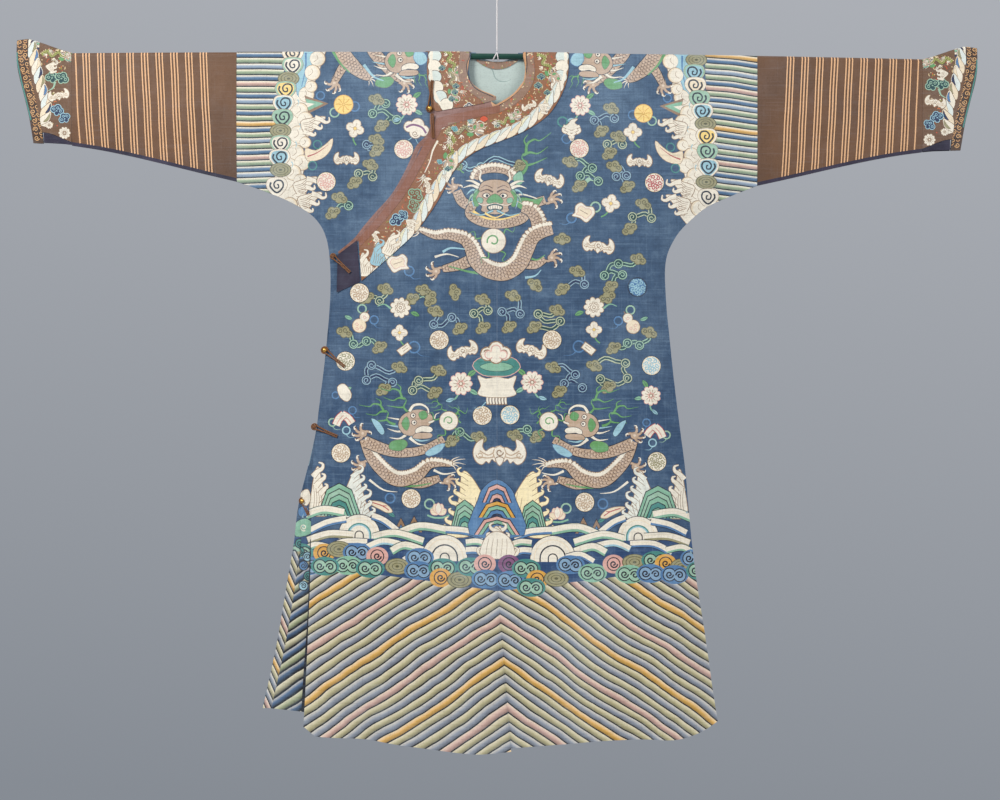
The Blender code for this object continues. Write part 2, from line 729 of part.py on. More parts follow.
def make_hanger():
    """The painted rod through the sleeves, and the white cord that it hangs by."""
    half = ROD_LENGTH / 2
    axis = [spot(x, 0, 0) for x in spread(-half, half, 14)]
    tube("rod", axis, ROD_RADIUS, "green paint", rings=3)

    hitch_radius = ROD_RADIUS + SEAM + CORD_RADIUS
    ring = []
    for angle in spread(0, 2 * math.pi, 14)[:-1]:
        ring.append(
            Vector((0, hitch_radius * math.sin(angle), hitch_radius * math.cos(angle) - ROD_DROP))
            * MM
        )
    tube("cord_hitch", ring, CORD_RADIUS, "white cord", closed=True)

    foot = hitch_radius + CORD_RADIUS + SEAM - ROD_DROP
    top = CORD_KNOT_RISE - KNOT_RADIUS - SEAM - ROD_DROP
    line = [Vector((0, 0, z)) * MM for z in spread(foot, top, 14)]
    tube("hanging_cord", line, CORD_RADIUS, "white cord")

    knot_z = CORD_KNOT_RISE - ROD_DROP
    loop_top = CORD_RADIUS
    shape = bmesh.new()
    bmesh.ops.create_uvsphere(shape, u_segments=10, v_segments=6, radius=KNOT_RADIUS * MM)
    bmesh.ops.translate(shape, verts=shape.verts[:], vec=Vector((0, 0, knot_z)) * MM)
    mesh = bpy.data.meshes.new("cord_knot")
    shape.to_mesh(mesh)
    shape.free()
    keep("cord_knot", mesh, "white cord")

    low = knot_z + KNOT_RADIUS + SEAM + CORD_RADIUS
    middle, tall, wide = (low + loop_top) / 2, (loop_top - low) / 2, 8.0
    loop = []
    for angle in spread(0, 2 * math.pi, 20)[:-1]:
        loop.append(Vector((wide * math.sin(angle), 0, middle + tall * math.cos(angle))) * MM)
    tube("cord_loop", loop, CORD_RADIUS, "white cord", closed=True)


def main():
    for old in list(bpy.data.objects):
        bpy.data.objects.remove(old)
    make_hanger()
    make_body()
    make_lap()
    make_side_fold()
    make_sleeves()
    make_outer_collar()
    make_under_collar()
    make_back_collar()
    make_lap_end()
    make_neck_inside()
    make_fastenings()


main()
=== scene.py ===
import math

import bmesh
import bpy
import numpy as np
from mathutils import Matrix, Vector
from mathutils.bvhtree import BVHTree
from mathutils.geometry import delaunay_2d_cdt


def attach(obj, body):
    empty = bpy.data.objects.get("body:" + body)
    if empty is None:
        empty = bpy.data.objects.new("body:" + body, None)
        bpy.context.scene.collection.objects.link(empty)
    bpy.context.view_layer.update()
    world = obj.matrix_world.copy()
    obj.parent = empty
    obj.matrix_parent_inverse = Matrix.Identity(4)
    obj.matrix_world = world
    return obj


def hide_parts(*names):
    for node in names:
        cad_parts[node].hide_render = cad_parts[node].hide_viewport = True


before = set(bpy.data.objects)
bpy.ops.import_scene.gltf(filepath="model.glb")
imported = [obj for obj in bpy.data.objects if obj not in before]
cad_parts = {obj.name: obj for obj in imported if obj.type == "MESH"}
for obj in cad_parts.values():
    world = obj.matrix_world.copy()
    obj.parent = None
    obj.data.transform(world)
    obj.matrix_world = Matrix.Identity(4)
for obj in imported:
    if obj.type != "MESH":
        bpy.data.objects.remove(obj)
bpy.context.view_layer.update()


# The view, the light and the floor
# A level camera far enough back to see the robe as flat as the photo does, soft light from
# the upper left, and a pale floor below the picture's edge.
MM = 0.001
CAMERA_AWAY, CAMERA_X, CAMERA_Z = 5.0, 0.006, -0.837
FLOOR_DROP, FLOOR_RADIUS = 1.93, 1.5
BACKDROP_LOW, BACKDROP_HIGH = (0.24, 0.262, 0.296), (0.41, 0.428, 0.464)
bpy.context.scene.view_settings.view_transform = "Standard"

camera = bpy.data.objects.new("camera", bpy.data.cameras.new("camera"))
bpy.context.scene.collection.objects.link(camera)
camera.data.sensor_width = 36.0
camera.data.lens = 90.0
camera.location = (CAMERA_X, -CAMERA_AWAY, CAMERA_Z)
camera.rotation_euler = (math.pi / 2, 0, 0)
bpy.context.scene.camera = camera


def soft_light(name, place, aim, side, watts):
    """A square lamp that faces the robe."""
    lamp = bpy.data.lights.new(name, "AREA")
    lamp.size = side
    lamp.energy = watts
    lamp.color = (1.0, 0.95, 0.87)
    made = bpy.data.objects.new(name, lamp)
    made.location = place
    made.rotation_euler = (Vector(aim) - Vector(place)).to_track_quat("-Z", "Y").to_euler()
    bpy.context.scene.collection.objects.link(made)


soft_light("key_light", (-2.6, -3.4, 1.9), (0, 0, -0.8), 1.6, 205)
soft_light("fill_light", (3.2, -3.6, 0.2), (0, 0, -0.9), 2.4, 78)
soft_light("back_light", (-1.5, 3.8, 1.6), (0, 0, -0.8), 2.4, 100)

world = bpy.data.worlds.new("studio")
bpy.context.scene.world = world
world.use_nodes = True


# Shader maths
# A socket takes part in sums as a number does, and any other node comes from one call.
class Socket:
    def __init__(self, tree, out):
        self.tree, self.out = tree, out

    def node(self, kind, settings=None, inputs=None, output=0):
        return shade(self.tree, kind, settings, inputs, output)

    def maths(self, how, other=0.0, third=0.0, turned=False):
        pair = (other, self) if turned else (self, other)
        inputs = {0: pair[0], 1: pair[1], 2: third}
        return self.node("ShaderNodeMath", {"operation": how}, inputs)

    def __add__(self, other):
        return self.maths("ADD", other)

    def __radd__(self, other):
        return self.maths("ADD", other, turned=True)

    def __sub__(self, other):
        return self.maths("SUBTRACT", other)

    def __rsub__(self, other):
        return self.maths("SUBTRACT", other, turned=True)

    def __mul__(self, other):
        return self.maths("MULTIPLY", other)

    def __rmul__(self, other):
        return self.maths("MULTIPLY", other, turned=True)

    def __truediv__(self, other):
        return self.maths("DIVIDE", other)

    def __lt__(self, other):
        return self.maths("LESS_THAN", other)

    def __gt__(self, other):
        return self.maths("GREATER_THAN", other)

    def part(self):
        return self.maths("FRACT")

    def size(self):
        return self.maths("ABSOLUTE")

    def between(self, low, high):
        """0 at low, 1 at high, with an even rise between."""
        settings = {"clamp": True}
        inputs = {"Value": self, "From Min": low, "From Max": high}
        return self.node("ShaderNodeMapRange", settings, inputs)


def shade(tree, kind, settings=None, inputs=None, output=0):
    """One node, its settings first, then the values or links of its sockets."""
    made = tree.nodes.new(kind)
    for name, value in (settings or {}).items():
        if name == "stops":
            for stop in range(len(value) - 2):
                made.color_ramp.elements.new(0.5)
            for stop, (place, colour) in zip(made.color_ramp.elements, value):
                stop.position = place
                stop.color = (*colour, 1)
        elif name == "steps":
            made.color_ramp.interpolation = value
        else:
            setattr(made, name, value)
    for name, value in (inputs or {}).items():
        if isinstance(value, Socket):
            tree.links.new(value.out, made.inputs[name])
        else:
            made.inputs[name].default_value = value
    return Socket(tree, made.outputs[output])


def mix(share, first, second, how="MIX"):
    """Two colours mixed. Sockets 6 and 7 of the Mix node are its colours, and output 2."""
    tree = next(s.tree for s in (share, first, second) if isinstance(s, Socket))
    inputs = {0: share}
    for place, colour in ((6, first), (7, second)):
        inputs[place] = colour if isinstance(colour, Socket) else (*colour, 1)
    settings = {"data_type": "RGBA", "blend_type": how}
    return shade(tree, "ShaderNodeMix", settings, inputs, 2)


def dye(red, green, blue):
    """A colour as the eye reads it off a screen, 0 to 255, made linear."""
    return tuple((value / 255) ** 2.2 for value in (red, green, blue))


def finish(name, roughness=0.6, metallic=0.0, sheen=0.0, coat=0.0):
    """A material, its node tree, its shader and the place on the robe in millimetres."""
    made = bpy.data.materials.new(name)
    made.use_nodes = True
    tree = made.node_tree
    shader = tree.nodes["Principled BSDF"]
    shader.inputs["Roughness"].default_value = roughness
    shader.inputs["Metallic"].default_value = metallic
    shader.inputs["Sheen Weight"].default_value = sheen
    shader.inputs["Coat Weight"].default_value = coat
    shader.inputs["Specular IOR Level"].default_value = 0.28
    place = shade(tree, "ShaderNodeTexCoord", output=3)
    axes = [shade(tree, "ShaderNodeSeparateXYZ", inputs={0: place}, output=k) for k in range(3)]
    return made, tree, shader, place, [axis * 1000 for axis in axes]


def noise(place, scale, stretch=(1, 1, 1), detail=2.0, rough=0.5):
    """Blender's noise, with its grain drawn out along an axis."""
    drawn = shade(place.tree, "ShaderNodeMapping", inputs={"Vector": place, "Scale": stretch})
    inputs = {"Vector": drawn, "Scale": scale, "Detail": detail, "Roughness": rough}
    return shade(place.tree, "ShaderNodeTexNoise", inputs=inputs)


def bump(height, distance, strength=1.0):
    inputs = {"Height": height, "Distance": distance, "Strength": strength}
    return shade(height.tree, "ShaderNodeBump", inputs=inputs)


sky = shade(world.node_tree, "ShaderNodeTexCoord", output=0)
height = shade(world.node_tree, "ShaderNodeSeparateXYZ", inputs={0: sky}, output=2)
sideways = shade(world.node_tree, "ShaderNodeSeparateXYZ", inputs={0: sky}, output=0)
backdrop = mix((height + sideways * 0.12).between(-0.17, 0.17), BACKDROP_LOW, BACKDROP_HIGH)
world.node_tree.links.new(backdrop.out, world.node_tree.nodes["Background"].inputs["Color"])

floor = bmesh.new()
bmesh.ops.create_circle(floor, cap_ends=True, segments=96, radius=FLOOR_RADIUS)
bmesh.ops.translate(floor, verts=floor.verts[:], vec=(0, 0, -FLOOR_DROP))
floor_mesh = bpy.data.meshes.new("floor")
floor.to_mesh(floor_mesh)
floor_piece = bpy.data.objects.new("floor", floor_mesh)
bpy.context.scene.collection.objects.link(floor_piece)
floor_paint, _, floor_shader, floor_place, _ = finish("pale floor", 0.8)
grain = noise(floor_place, 6.0)
floor_colour = mix(grain, dye(176, 178, 182), dye(186, 188, 191))
floor_paint.node_tree.links.new(floor_colour.out, floor_shader.inputs["Base Color"])
floor_mesh.materials.append(floor_paint)


# The white cord and the painted rod
# A thin braided cord comes down taut from its loop and is hitched round the middle of a green
# painted rod, which runs through both sleeves.
ROD_DROP, ROD_RADIUS = 150.0, 6.0
ROD_TILT, ROD_SAG, SAG_AT = 0.0078, 7.0, 850.0
CORD_RADIUS = 1.5
CORD_TOP = 34.4  # below the loop's bight
CORD_FOOT = 138.9


def rod_line(x):
    """How far the rod's axis, and what hangs on it, stands above the rod's middle."""
    return -ROD_TILT * x - ROD_SAG * (x / SAG_AT) ** 2


def link(name, mesh, slot, *nodes):
    """A finished piece, on the one body that the robe has."""
    made = bpy.data.objects.new(name, mesh)
    bpy.context.scene.collection.objects.link(made)
    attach(made, "root")
    if nodes:
        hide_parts(*nodes)
    return made


def cord_line(name, points, radius, paint, closed=False, rings=3):
    """A cord along points in millimetres, as a curve with a round section."""
    curve = bpy.data.curves.new(name, "CURVE")
    curve.dimensions = "3D"
    curve.bevel_depth = radius * MM
    curve.bevel_resolution = rings
    curve.use_fill_caps = not closed
    line = curve.splines.new("POLY")
    line.points.add(len(points) - 1)
    for point, at in zip(line.points, points):
        point.co = (at[0] * MM, at[1] * MM, at[2] * MM, 1.0)
    line.use_cyclic_u = closed
    line.use_smooth = True
    curve.materials.append(paint)
    return curve


def braid(name, light, dark, pitch):
    """Twisted or braided cord: slanting strands, with shadow between them."""
    paint, tree, shader, place, (x, y, z) = finish(name, 0.75, sheen=0.2)
    strands = ((z + x * 0.8 + y * 0.8) / pitch).part()
    groove = (strands - 0.5).size().between(0.30, 0.5)
    colour = mix(groove, light, dark)
    fuzz = noise(place, 900.0)
    colour = mix(fuzz * 0.35, colour, dark)
    tree.links.new(colour.out, shader.inputs["Base Color"])
    tree.links.new(bump(1 - groove, 0.0004).out, shader.inputs["Normal"])
    return paint


white_cord = braid("white braided cord", dye(236, 234, 236), dye(176, 172, 178), 2.4)
cord_points = [(0, 0, -CORD_TOP - (CORD_FOOT - CORD_TOP) * k / 24) for k in range(25)]
cord_curve = cord_line("hanging_cord_line", cord_points, CORD_RADIUS, white_cord)
cord_piece = link("hanging_cord_line", cord_curve, "hanging_cord", "hanging_cord")

for turn, lean in enumerate((-8.0, 2.5)):
    ring, reach = [], ROD_RADIUS + CORD_RADIUS + 0.3
    for k in range(32):
        angle = 2 * math.pi * k / 32
        down = (1 - math.cos(angle)) / 2
        ring.append((lean * down, -reach * math.sin(angle), reach * math.cos(angle) - ROD_DROP))
    ring_curve = cord_line(f"hitch_turn_{turn}", ring, CORD_RADIUS * 0.8, white_cord, True)
    ring_piece = link(f"hitch_turn_{turn}", ring_curve, "hanging_cord", "cord_hitch")

for name in ("cord_knot", "cord_loop"):
    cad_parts[name].data.materials.clear()
    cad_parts[name].data.materials.append(white_cord)

rod_paint, tree, shader, place, _ = finish("dark green rod paint", 0.32, coat=0.4)
worn = noise(place, 60.0, (0.2, 1, 1), 4.0)
colour = mix(worn.between(0.35, 0.7), dye(22, 56, 50), dye(36, 74, 64))
tree.links.new(colour.out, shader.inputs["Base Color"])
tree.links.new(bump(noise(place, 220.0), 0.0002).out, shader.inputs["Normal"])
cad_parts["rod"].data.materials.clear()
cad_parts["rod"].data.materials.append(rod_paint)


# The silks
# Fine tapestry silk: flat colours change with each shape, over a ground with slubs and worn
# threads. The stripes are woven in the same way and are drawn by sums on x and drop.

def cloth_surface(tree, shader, place, axes, colour, wear=0.5, streak=0.7):
    """Adds what every woven silk shows: slubs along the weft, rubbed warps, faded places; and pales the colour
    towards the top.
    """
    x, y, z = axes
    weft = noise(place, 60.0, (0.22, 0.22, 5.0), 5.0, 0.7)
    warp = noise(place, 62.0, (5.0, 0.22, 0.16), 5.0, 0.7)
    faded = noise(place, 3.6, (1, 1, 1), 4.0, 0.6)
    mottle = noise(place, 38.0, (1, 1, 1), 6.0, 0.75)
    speck = noise(place, 380.0, (1, 1, 1), 2.0)
    light = mix(1.0, colour, (0.14, 0.20, 0.26), "SCREEN")
    dark = mix(1.0, colour, (0.50, 0.50, 0.52), "MULTIPLY")
    # Faded patches, and a paler cast that grows with height from z -850 mm to -250 mm.
    colour = mix((faded.between(0.48, 0.74) + z.between(-850.0, -250.0) * 0.5) * wear, colour, light)
    colour = mix(mottle.between(0.50, 0.74) * wear * 0.9, colour, light)
    colour = mix(weft.between(0.54, 0.78) * streak, colour, light)
    colour = mix(warp.between(0.56, 0.80) * streak * 0.8, colour, light)
    colour = mix(weft.between(0.48, 0.26) * streak * 0.9, colour, dark)
    colour = mix(warp.between(0.46, 0.24) * streak * 0.7, colour, dark)
    colour = mix(mottle.between(0.48, 0.28) * wear * 0.9, colour, dark)
    colour = mix(speck.between(0.5, 0.85) * 0.45, colour, dark)
    tree.links.new(colour.out, shader.inputs["Base Color"])
    threads = ((z / 0.7).part() - 0.5).size() + ((x / 1.1).part() - 0.5).size() * 0.6
    relief = threads * 0.35 + weft * 0.9 + warp * 0.6
    tree.links.new(bump(relief, 0.0003, 0.6).out, shader.inputs["Normal"])


def drop_of(x, z):
    """The drop below the rod, in the shader's own sums."""
    return -1.0 * z - ROD_DROP - x * ROD_TILT - x * x * (ROD_SAG / SAG_AT**2)


def dyed_silk(name, wear, streak, roughness=0.62):
    """Silk whose colour is woven in, shape by shape."""
    paint, tree, shader, place, axes = finish(name, roughness, sheen=0.05)
    dyed = shade(tree, "ShaderNodeAttribute", {"attribute_name": "dye"})
    cloth_surface(tree, shader, place, axes, dyed, wear, streak)
    return paint


woven_silk = dyed_silk("tapestry silk", 0.5, 0.6)


def banded(name, phase_of, pitch, order, line_share=0.17, light=0.62, dark=0.40):
    """Bands in a repeating order, each light above, dark below, parted by a thin black line."""
    paint, tree, shader, place, axes = finish(name, 0.62, sheen=0.05)
    phase = phase_of(place, *axes)
    steps = [(k / len(order), colour) for k, colour in enumerate(order)]
    along = (phase / (pitch * len(order))).part()
    settings = {"stops": steps, "steps": "CONSTANT"}
    base = shade(tree, "ShaderNodeValToRGB", settings, {0: along})
    within = (phase / pitch).part()
    pale = mix(light, base, dye(244, 236, 216))
    deep = mix(1.0, base, (dark, dark, dark * 1.04), "MULTIPLY")
    colour = mix(within.between(0.20, 0.60), pale, base)
    colour = mix(within.between(0.55, 0.95), colour, deep)
    colour = mix(within < line_share, colour, dye(28, 28, 34))
    cloth_surface(tree, shader, place, axes, colour, 0.3, 0.4)
    return paint


SAGE, SLATE, PINK, GOLD = dye(182, 176, 138), dye(144, 152, 166), dye(200, 166, 154), dye(216, 170, 88)
HEM_ORDER = [GOLD, SAGE, SLATE, SAGE, SLATE, PINK, SAGE, SLATE, SAGE, SLATE]
HEM_PITCH = 17.6  # measured straight down
HEM_START = 846.0  # the highest gold band's drop at the middle


def hem_phase(place, x, y, z):
    drop = drop_of(x, z)
    middle = (drop - 1040.0) * 0.085
    middle = middle.maths("MAXIMUM", 0.0)
    right = (x > middle) * 1.0
    slope = 0.634 + right * 0.075
    wave = (noise(place, 5.0, (1, 1, 0.8), 1.0) - 0.5) * 34.0
    ripple = (noise(place, 22.0, (1, 1, 1), 1.0) - 0.5) * 7.0
    return drop - (x - middle).size() * slope + wave + ripple - HEM_START + HEM_PITCH * 40


hem_silk = banded("hem stripes", hem_phase, HEM_PITCH, HEM_ORDER, 0.17, 0.52, 0.46)
# The under front's stripes: their order is woven, but their darker, bluer depth is painted shade for the deep fold
# behind the lapped front.
SHADED_UNDER_ORDER = [dye(84, 110, 146), dye(160, 168, 134), dye(74, 98, 130), dye(184, 180, 150)]
shaded_under_silk = banded("under front stripes in painted shade", hem_phase, HEM_PITCH, SHADED_UNDER_ORDER, 0.24, 0.55, 0.26)


def fold_phase(place, x, y, z):
    ripple = (noise(place, 22.0, (1, 1, 1), 1.0) - 0.5) * 5.0
    return drop_of(x, z) + (x + 400.0) * -2.1 + ripple - HEM_START + HEM_PITCH * 40


fold_silk = banded("folded edge stripes", fold_phase, 23.0, HEM_ORDER, 0.2, 0.66, 0.4)


def shoulder_phase(place, x, y, z):
    drop = drop_of(x, z)
    tilt = (x > 0) * 0.10
    wave = (noise(place, 9.0, (1, 1, 0.6), 1.0) - 0.5) * 9.0
    return drop - x * tilt + (x > 0) * 40.0 + wave + 210.0


TEAL_BLUE, MOSS, HAZE_BLUE = dye(84, 118, 156), dye(152, 172, 142), dye(146, 166, 190)
SHOULDER_ORDER = [
    HAZE_BLUE, MOSS, TEAL_BLUE, MOSS, GOLD, TEAL_BLUE, MOSS, HAZE_BLUE, MOSS, TEAL_BLUE, PINK, MOSS,
    TEAL_BLUE,
]
shoulder_silk = banded("shoulder stripes", shoulder_phase, 11.3, SHOULDER_ORDER, 0.20, 1.0, 0.52)

BROWN, TAN, INK = dye(108, 78, 56), dye(228, 180, 136), dye(40, 30, 28)
GROUP_START, GROUP_PITCH, GROUPS = 586.5, 29.3, 9
striped_silk, tree, shader, place, axes = finish("striped brown silk", 0.5, sheen=0.15)
x, y, z = axes
wander = (noise(place, 10.0, (1, 1, 1), 1.0) - 0.5) * 2.6
across = x.size() + drop_of(x, z) * 0.047 + wander
group = (across - GROUP_START + GROUP_PITCH / 2) / GROUP_PITCH
within = (group.part() - 0.5).size() * GROUP_PITCH
in_groups = (group > 0) * (group < GROUPS)
outer_line = (within - 6.2).size() < 1.25
middle_line = within < 1.4
single = (across - 842.0).size() < 1.3
gold = ((outer_line + middle_line) * in_groups + single).maths("MINIMUM", 1.0)
dots = ((z / 2.6).part() > 0.35) * ((within - 3.1).size() < 0.55) * in_groups
dots = dots + ((within - 8.0).size() < 0.45) * in_groups
colour = mix(noise(place, 7.0, (1, 1, 1), 3.0).between(0.4, 0.7), BROWN, dye(92, 66, 47))
colour = mix(dots.maths("MINIMUM", 1.0) * 0.8, colour, INK)
colour = mix(gold * 0.95, colour, TAN)
cloth_surface(tree, shader, place, axes, colour, 0.10, 0.22)


def plain_silk(name, colour, deep, wear=0.25, streak=0.3, roughness=0.62):
    paint, tree, shader, place, axes = finish(name, roughness, sheen=0.05)
    ground = mix(noise(place, 14.0, (1, 1, 1), 4.0).between(0.35, 0.68), colour, deep)
    cloth_surface(tree, shader, place, axes, ground, wear, streak)
    return paint


lining_silk = dyed_silk("pale blue lining silk", 0.12, 0.25)
inside_silk = plain_silk("worn blue inside silk", dye(150, 178, 190), dye(126, 156, 172), 0.2, 0.2)
band_silk = dyed_silk("reddish brown band silk", 0.25, 0.5)
navy_silk = plain_silk("dark navy silk", dye(58, 52, 72), dye(42, 38, 56), 0.08, 0.15)


# Cutting the cloth
# Each front and back is laid out flat as an outline on x and drop, with the woven shapes cut
# into it, then hung on the form that its solid has, with soft creases, a wall and a lining.
ON_ROD = 7.9  # outside radius of the cloth over the rod
STEP = 4.0  # of the grid that the solid's form is read on
BLUR = 3.0  # in steps: evens out the solid's flat faces
WALL = 1.6


def ease(t):
    t = np.clip(t, 0.0, 1.0)
    return t * t * (3 - 2 * t)


def blurred(grid, reach=BLUR):
    """A grid averaged with its neighbours, by a bell curve, along each axis in turn."""
    taps = np.arange(-int(3 * reach), int(3 * reach) + 1)
    bell = np.exp(-0.5 * (taps / reach) ** 2)
    bell /= bell.sum()
    for axis in (0, 1):
        padded = np.pad(grid, [(len(taps) // 2,) * 2 if a == axis else (0, 0) for a in (0, 1)], "edge")
        total = np.zeros_like(grid)
        for k, share in enumerate(bell):
            part = [slice(None), slice(None)]
            part[axis] = slice(k, k + grid.shape[axis])
            total += share * padded[tuple(part)]
        grid = total
    return grid


def level_top(x):
    """Cloth that lies straight over the rod; cuffs stand above it instead."""
    return 0.0 * x


class Form:
    """The outside of a solid, front (side -1) or back (side 1): its outline and its depth."""

    def __init__(self, node, side, rise=level_top):
        self.side, self.rise = side, rise
        solid = bmesh.new()
        solid.from_mesh(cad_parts[node].data)
        bmesh.ops.remove_doubles(solid, verts=solid.verts[:], dist=1e-5)
        solid.normal_update()
        self.outline = self.read_outline(solid)
        self.read_depths(BVHTree.FromBMesh(solid))
        solid.free()

    def read_outline(self, solid):
        outside = {face for face in solid.faces if face.normal.y * self.side > 0.1}
        following = {}
        for face in outside:
            for loop in face.loops:
                if sum(other in outside for other in loop.edge.link_faces) == 1:
                    following[loop.vert] = loop.link_loop_next.vert
        start = at = next(iter(following))
        ring = []
        while True:
            x, z = at.co.x / MM, at.co.z / MM
            ring.append((x, rod_line(x) + float(self.rise(x)) - ROD_DROP - z))
            at = following[at]
            if at == start:
                return rounded(ring)

    def read_depths(self, tree):
        ring = np.array(self.outline)
        self.low = ring.min(0) - 3 * STEP
        self.count = np.ceil((ring.max(0) + 3 * STEP - self.low) / STEP).astype(int) + 1
        depth = np.full(self.count, np.nan)
        way = Vector((0, -self.side, 0))
        for i in range(self.count[0]):
            x = self.low[0] + i * STEP
            top = rod_line(x) - ROD_DROP + float(self.rise(x))
            for k in range(self.count[1]):
                z = top - (self.low[1] + k * STEP)
                hit = tree.ray_cast(Vector((x * MM, self.side, z * MM)), way)
                if hit[0]:
                    depth[i, k] = hit[0].y * self.side / MM
        known = ~np.isnan(depth)
        cover = blurred(known.astype(float))
        smooth = blurred(np.where(known, depth, 0.0)) / np.maximum(cover, 1e-6)
        inside = ease((cover - 0.85) / 0.15)
        self.depth = np.where(known, depth * (1 - inside) + smooth * inside, smooth)

    def at(self, x, drop):
        """The depth of the outside at places given as arrays."""
        u = np.clip((x - self.low[0]) / STEP, 0, self.count[0] - 1.001)
        v = np.clip((np.maximum(drop, 0.5) - self.low[1]) / STEP, 0, self.count[1] - 1.001)
        i, k = u.astype(int), v.astype(int)
        u, v = u - i, v - k
        grid = self.depth
        found = (grid[i, k] * (1 - u) + grid[i + 1, k] * u) * (1 - v)
        found += (grid[i, k + 1] * (1 - u) + grid[i + 1, k + 1] * u) * v
        over = np.sqrt(np.maximum(found**2 - np.minimum(drop, 0.0) ** 2, 0.02))
        return np.where(drop < 0, over, found)


def rounded(ring):
    """An outline with points added on a smooth curve where it doesn't turn sharply."""
    ring = [Vector(point) for point in ring]
    count = len(ring)
    sharp = []
    for k in range(count):
        before, after = ring[k] - ring[k - 1], ring[(k + 1) % count] - ring[k]
        sharp.append(abs(before.angle_signed(after, 0)) > 0.45)
    out = []
    for k in range(count):
        a, b, c, d = (ring[(k + n) % count] for n in (-1, 0, 1, 2))
        way = c - b
        out.append(b)
        if way.length < 6:
            continue
        start = way if sharp[k] else (c - a) * (way.length / max((c - a).length, way.length))
        end = way if sharp[(k + 1) % count] else (d - b) * (way.length / max((d - b).length, way.length))
        pieces = max(2, int(way.length / 9))
        for step in range(1, pieces):
            t = step / pieces
            out.append(
                b * (2 * t**3 - 3 * t**2 + 1) + c * (3 * t**2 - 2 * t**3)
                + start * (t**3 - 2 * t**2 + t) + end * (t**3 - t**2)
            )
    return [(point.x, point.y) for point in out]


def creased(x, drop, folds):
    """How far soft creases push the cloth out. A fold's row is the x and drop of its two ends,
    its half width, and its height, below zero for a trough."""
    out = np.zeros_like(x)
    for x0, drop0, x1, drop1, width, height in folds:
        run = math.hypot(x1 - x0, drop1 - drop0)
        along = ((x - x0) * (x1 - x0) + (drop - drop0) * (drop1 - drop0)) / run**2
        aside = ((x - x0) * (drop1 - drop0) - (drop - drop0) * (x1 - x0)) / run
        aside = aside + 0.06 * run * np.sin(along * math.pi) * (1 if height > 0 else -1) * 0.4
        out += height * np.exp(-((aside / width) ** 2)) * ease(along * 4) * ease((1 - along) * 4)
    return out


def unevenness(x, drop, seed):
    """The slight swell of cloth that has hung and been stored, different on each piece."""
    out = 0.45 * np.sin(x / 47 + seed) * np.sin(drop / 83 + 2 * seed)
    out += 0.25 * np.sin(x / 19 + drop / 61 + 3 * seed) + 0.2 * np.sin(drop / 23 - x / 71 + seed)
    return out


def signed_area(points):
    x, y = np.array(points).T
    return 0.5 * float(np.sum(x * np.roll(y, -1) - np.roll(x, -1) * y))


def inside_grid(ring, spacing, extra_drops=()):
    """Points on a grid inside an outline, a little clear of it."""
    ring = np.array(ring)
    low, high = ring.min(0), ring.max(0)
    drops = np.append(np.arange(low[1] + spacing, high[1], spacing), extra_drops)
    x, drop = np.meshgrid(np.arange(low[0] + spacing / 2, high[0], spacing), drops)
    x, drop = x.ravel(), drop.ravel()
    inside = np.zeros(len(x), bool)
    near = np.full(len(x), 1e9)
    for (x0, y0), (x1, y1) in zip(ring, np.roll(ring, -1, 0)):
        if y0 != y1:
            crosses = (y0 > drop) != (y1 > drop)
            inside ^= crosses & (x < (x1 - x0) * (drop - y0) / (y1 - y0) + x0)
        length = max((x1 - x0) ** 2 + (y1 - y0) ** 2, 1e-9)
        t = np.clip(((x - x0) * (x1 - x0) + (drop - y0) * (y1 - y0)) / length, 0, 1)
        near = np.minimum(near, np.hypot(x - x0 - t * (x1 - x0), drop - y0 - t * (y1 - y0)))
    keep = inside & (near > spacing * 0.3)
    return np.stack([x[keep], drop[keep]], 1)


def cut(ring, shapes, spacing, extra_drops=()):
    """Triangles that fill an outline, with every shape's edge among theirs, and the last shape
    that covers each. Answers points, triangles and the number of the shape, or -1."""
    rings = [ring] + [points for points, _ in shapes]
    points, faces = [], []
    for loop in rings:
        order = loop if signed_area(loop) > 0 else loop[::-1]
        faces.append(range(len(points), len(points) + len(order)))
        points.extend(order)
    points.extend(inside_grid(ring, spacing, extra_drops))
    found = delaunay_2d_cdt([Vector(p) for p in points], [], faces, 1, 1e-3)
    places, triangles, owners = np.array([tuple(p) for p in found[0]]), found[2], found[5]
    corners = np.array(triangles)
    a, b, c = (places[corners[:, k]] for k in range(3))
    sizes = 0.5 * ((b - a)[:, 0] * (c - a)[:, 1] - (b - a)[:, 1] * (c - a)[:, 0])
    covered = np.zeros(len(rings))
    for owner, size in zip(owners, sizes):
        for shape in owner:
            covered[shape] += size
    whole = [covered[k] <= 1.3 * abs(signed_area(loop)) + 1 for k, loop in enumerate(rings)]
    kept, top = [], []
    for corner, owner in zip(triangles, owners):
        if 0 in owner:
            kept.append(corner)
            top.append(max((shape for shape in owner if whole[shape]), default=0) - 1)
    return places, kept, top


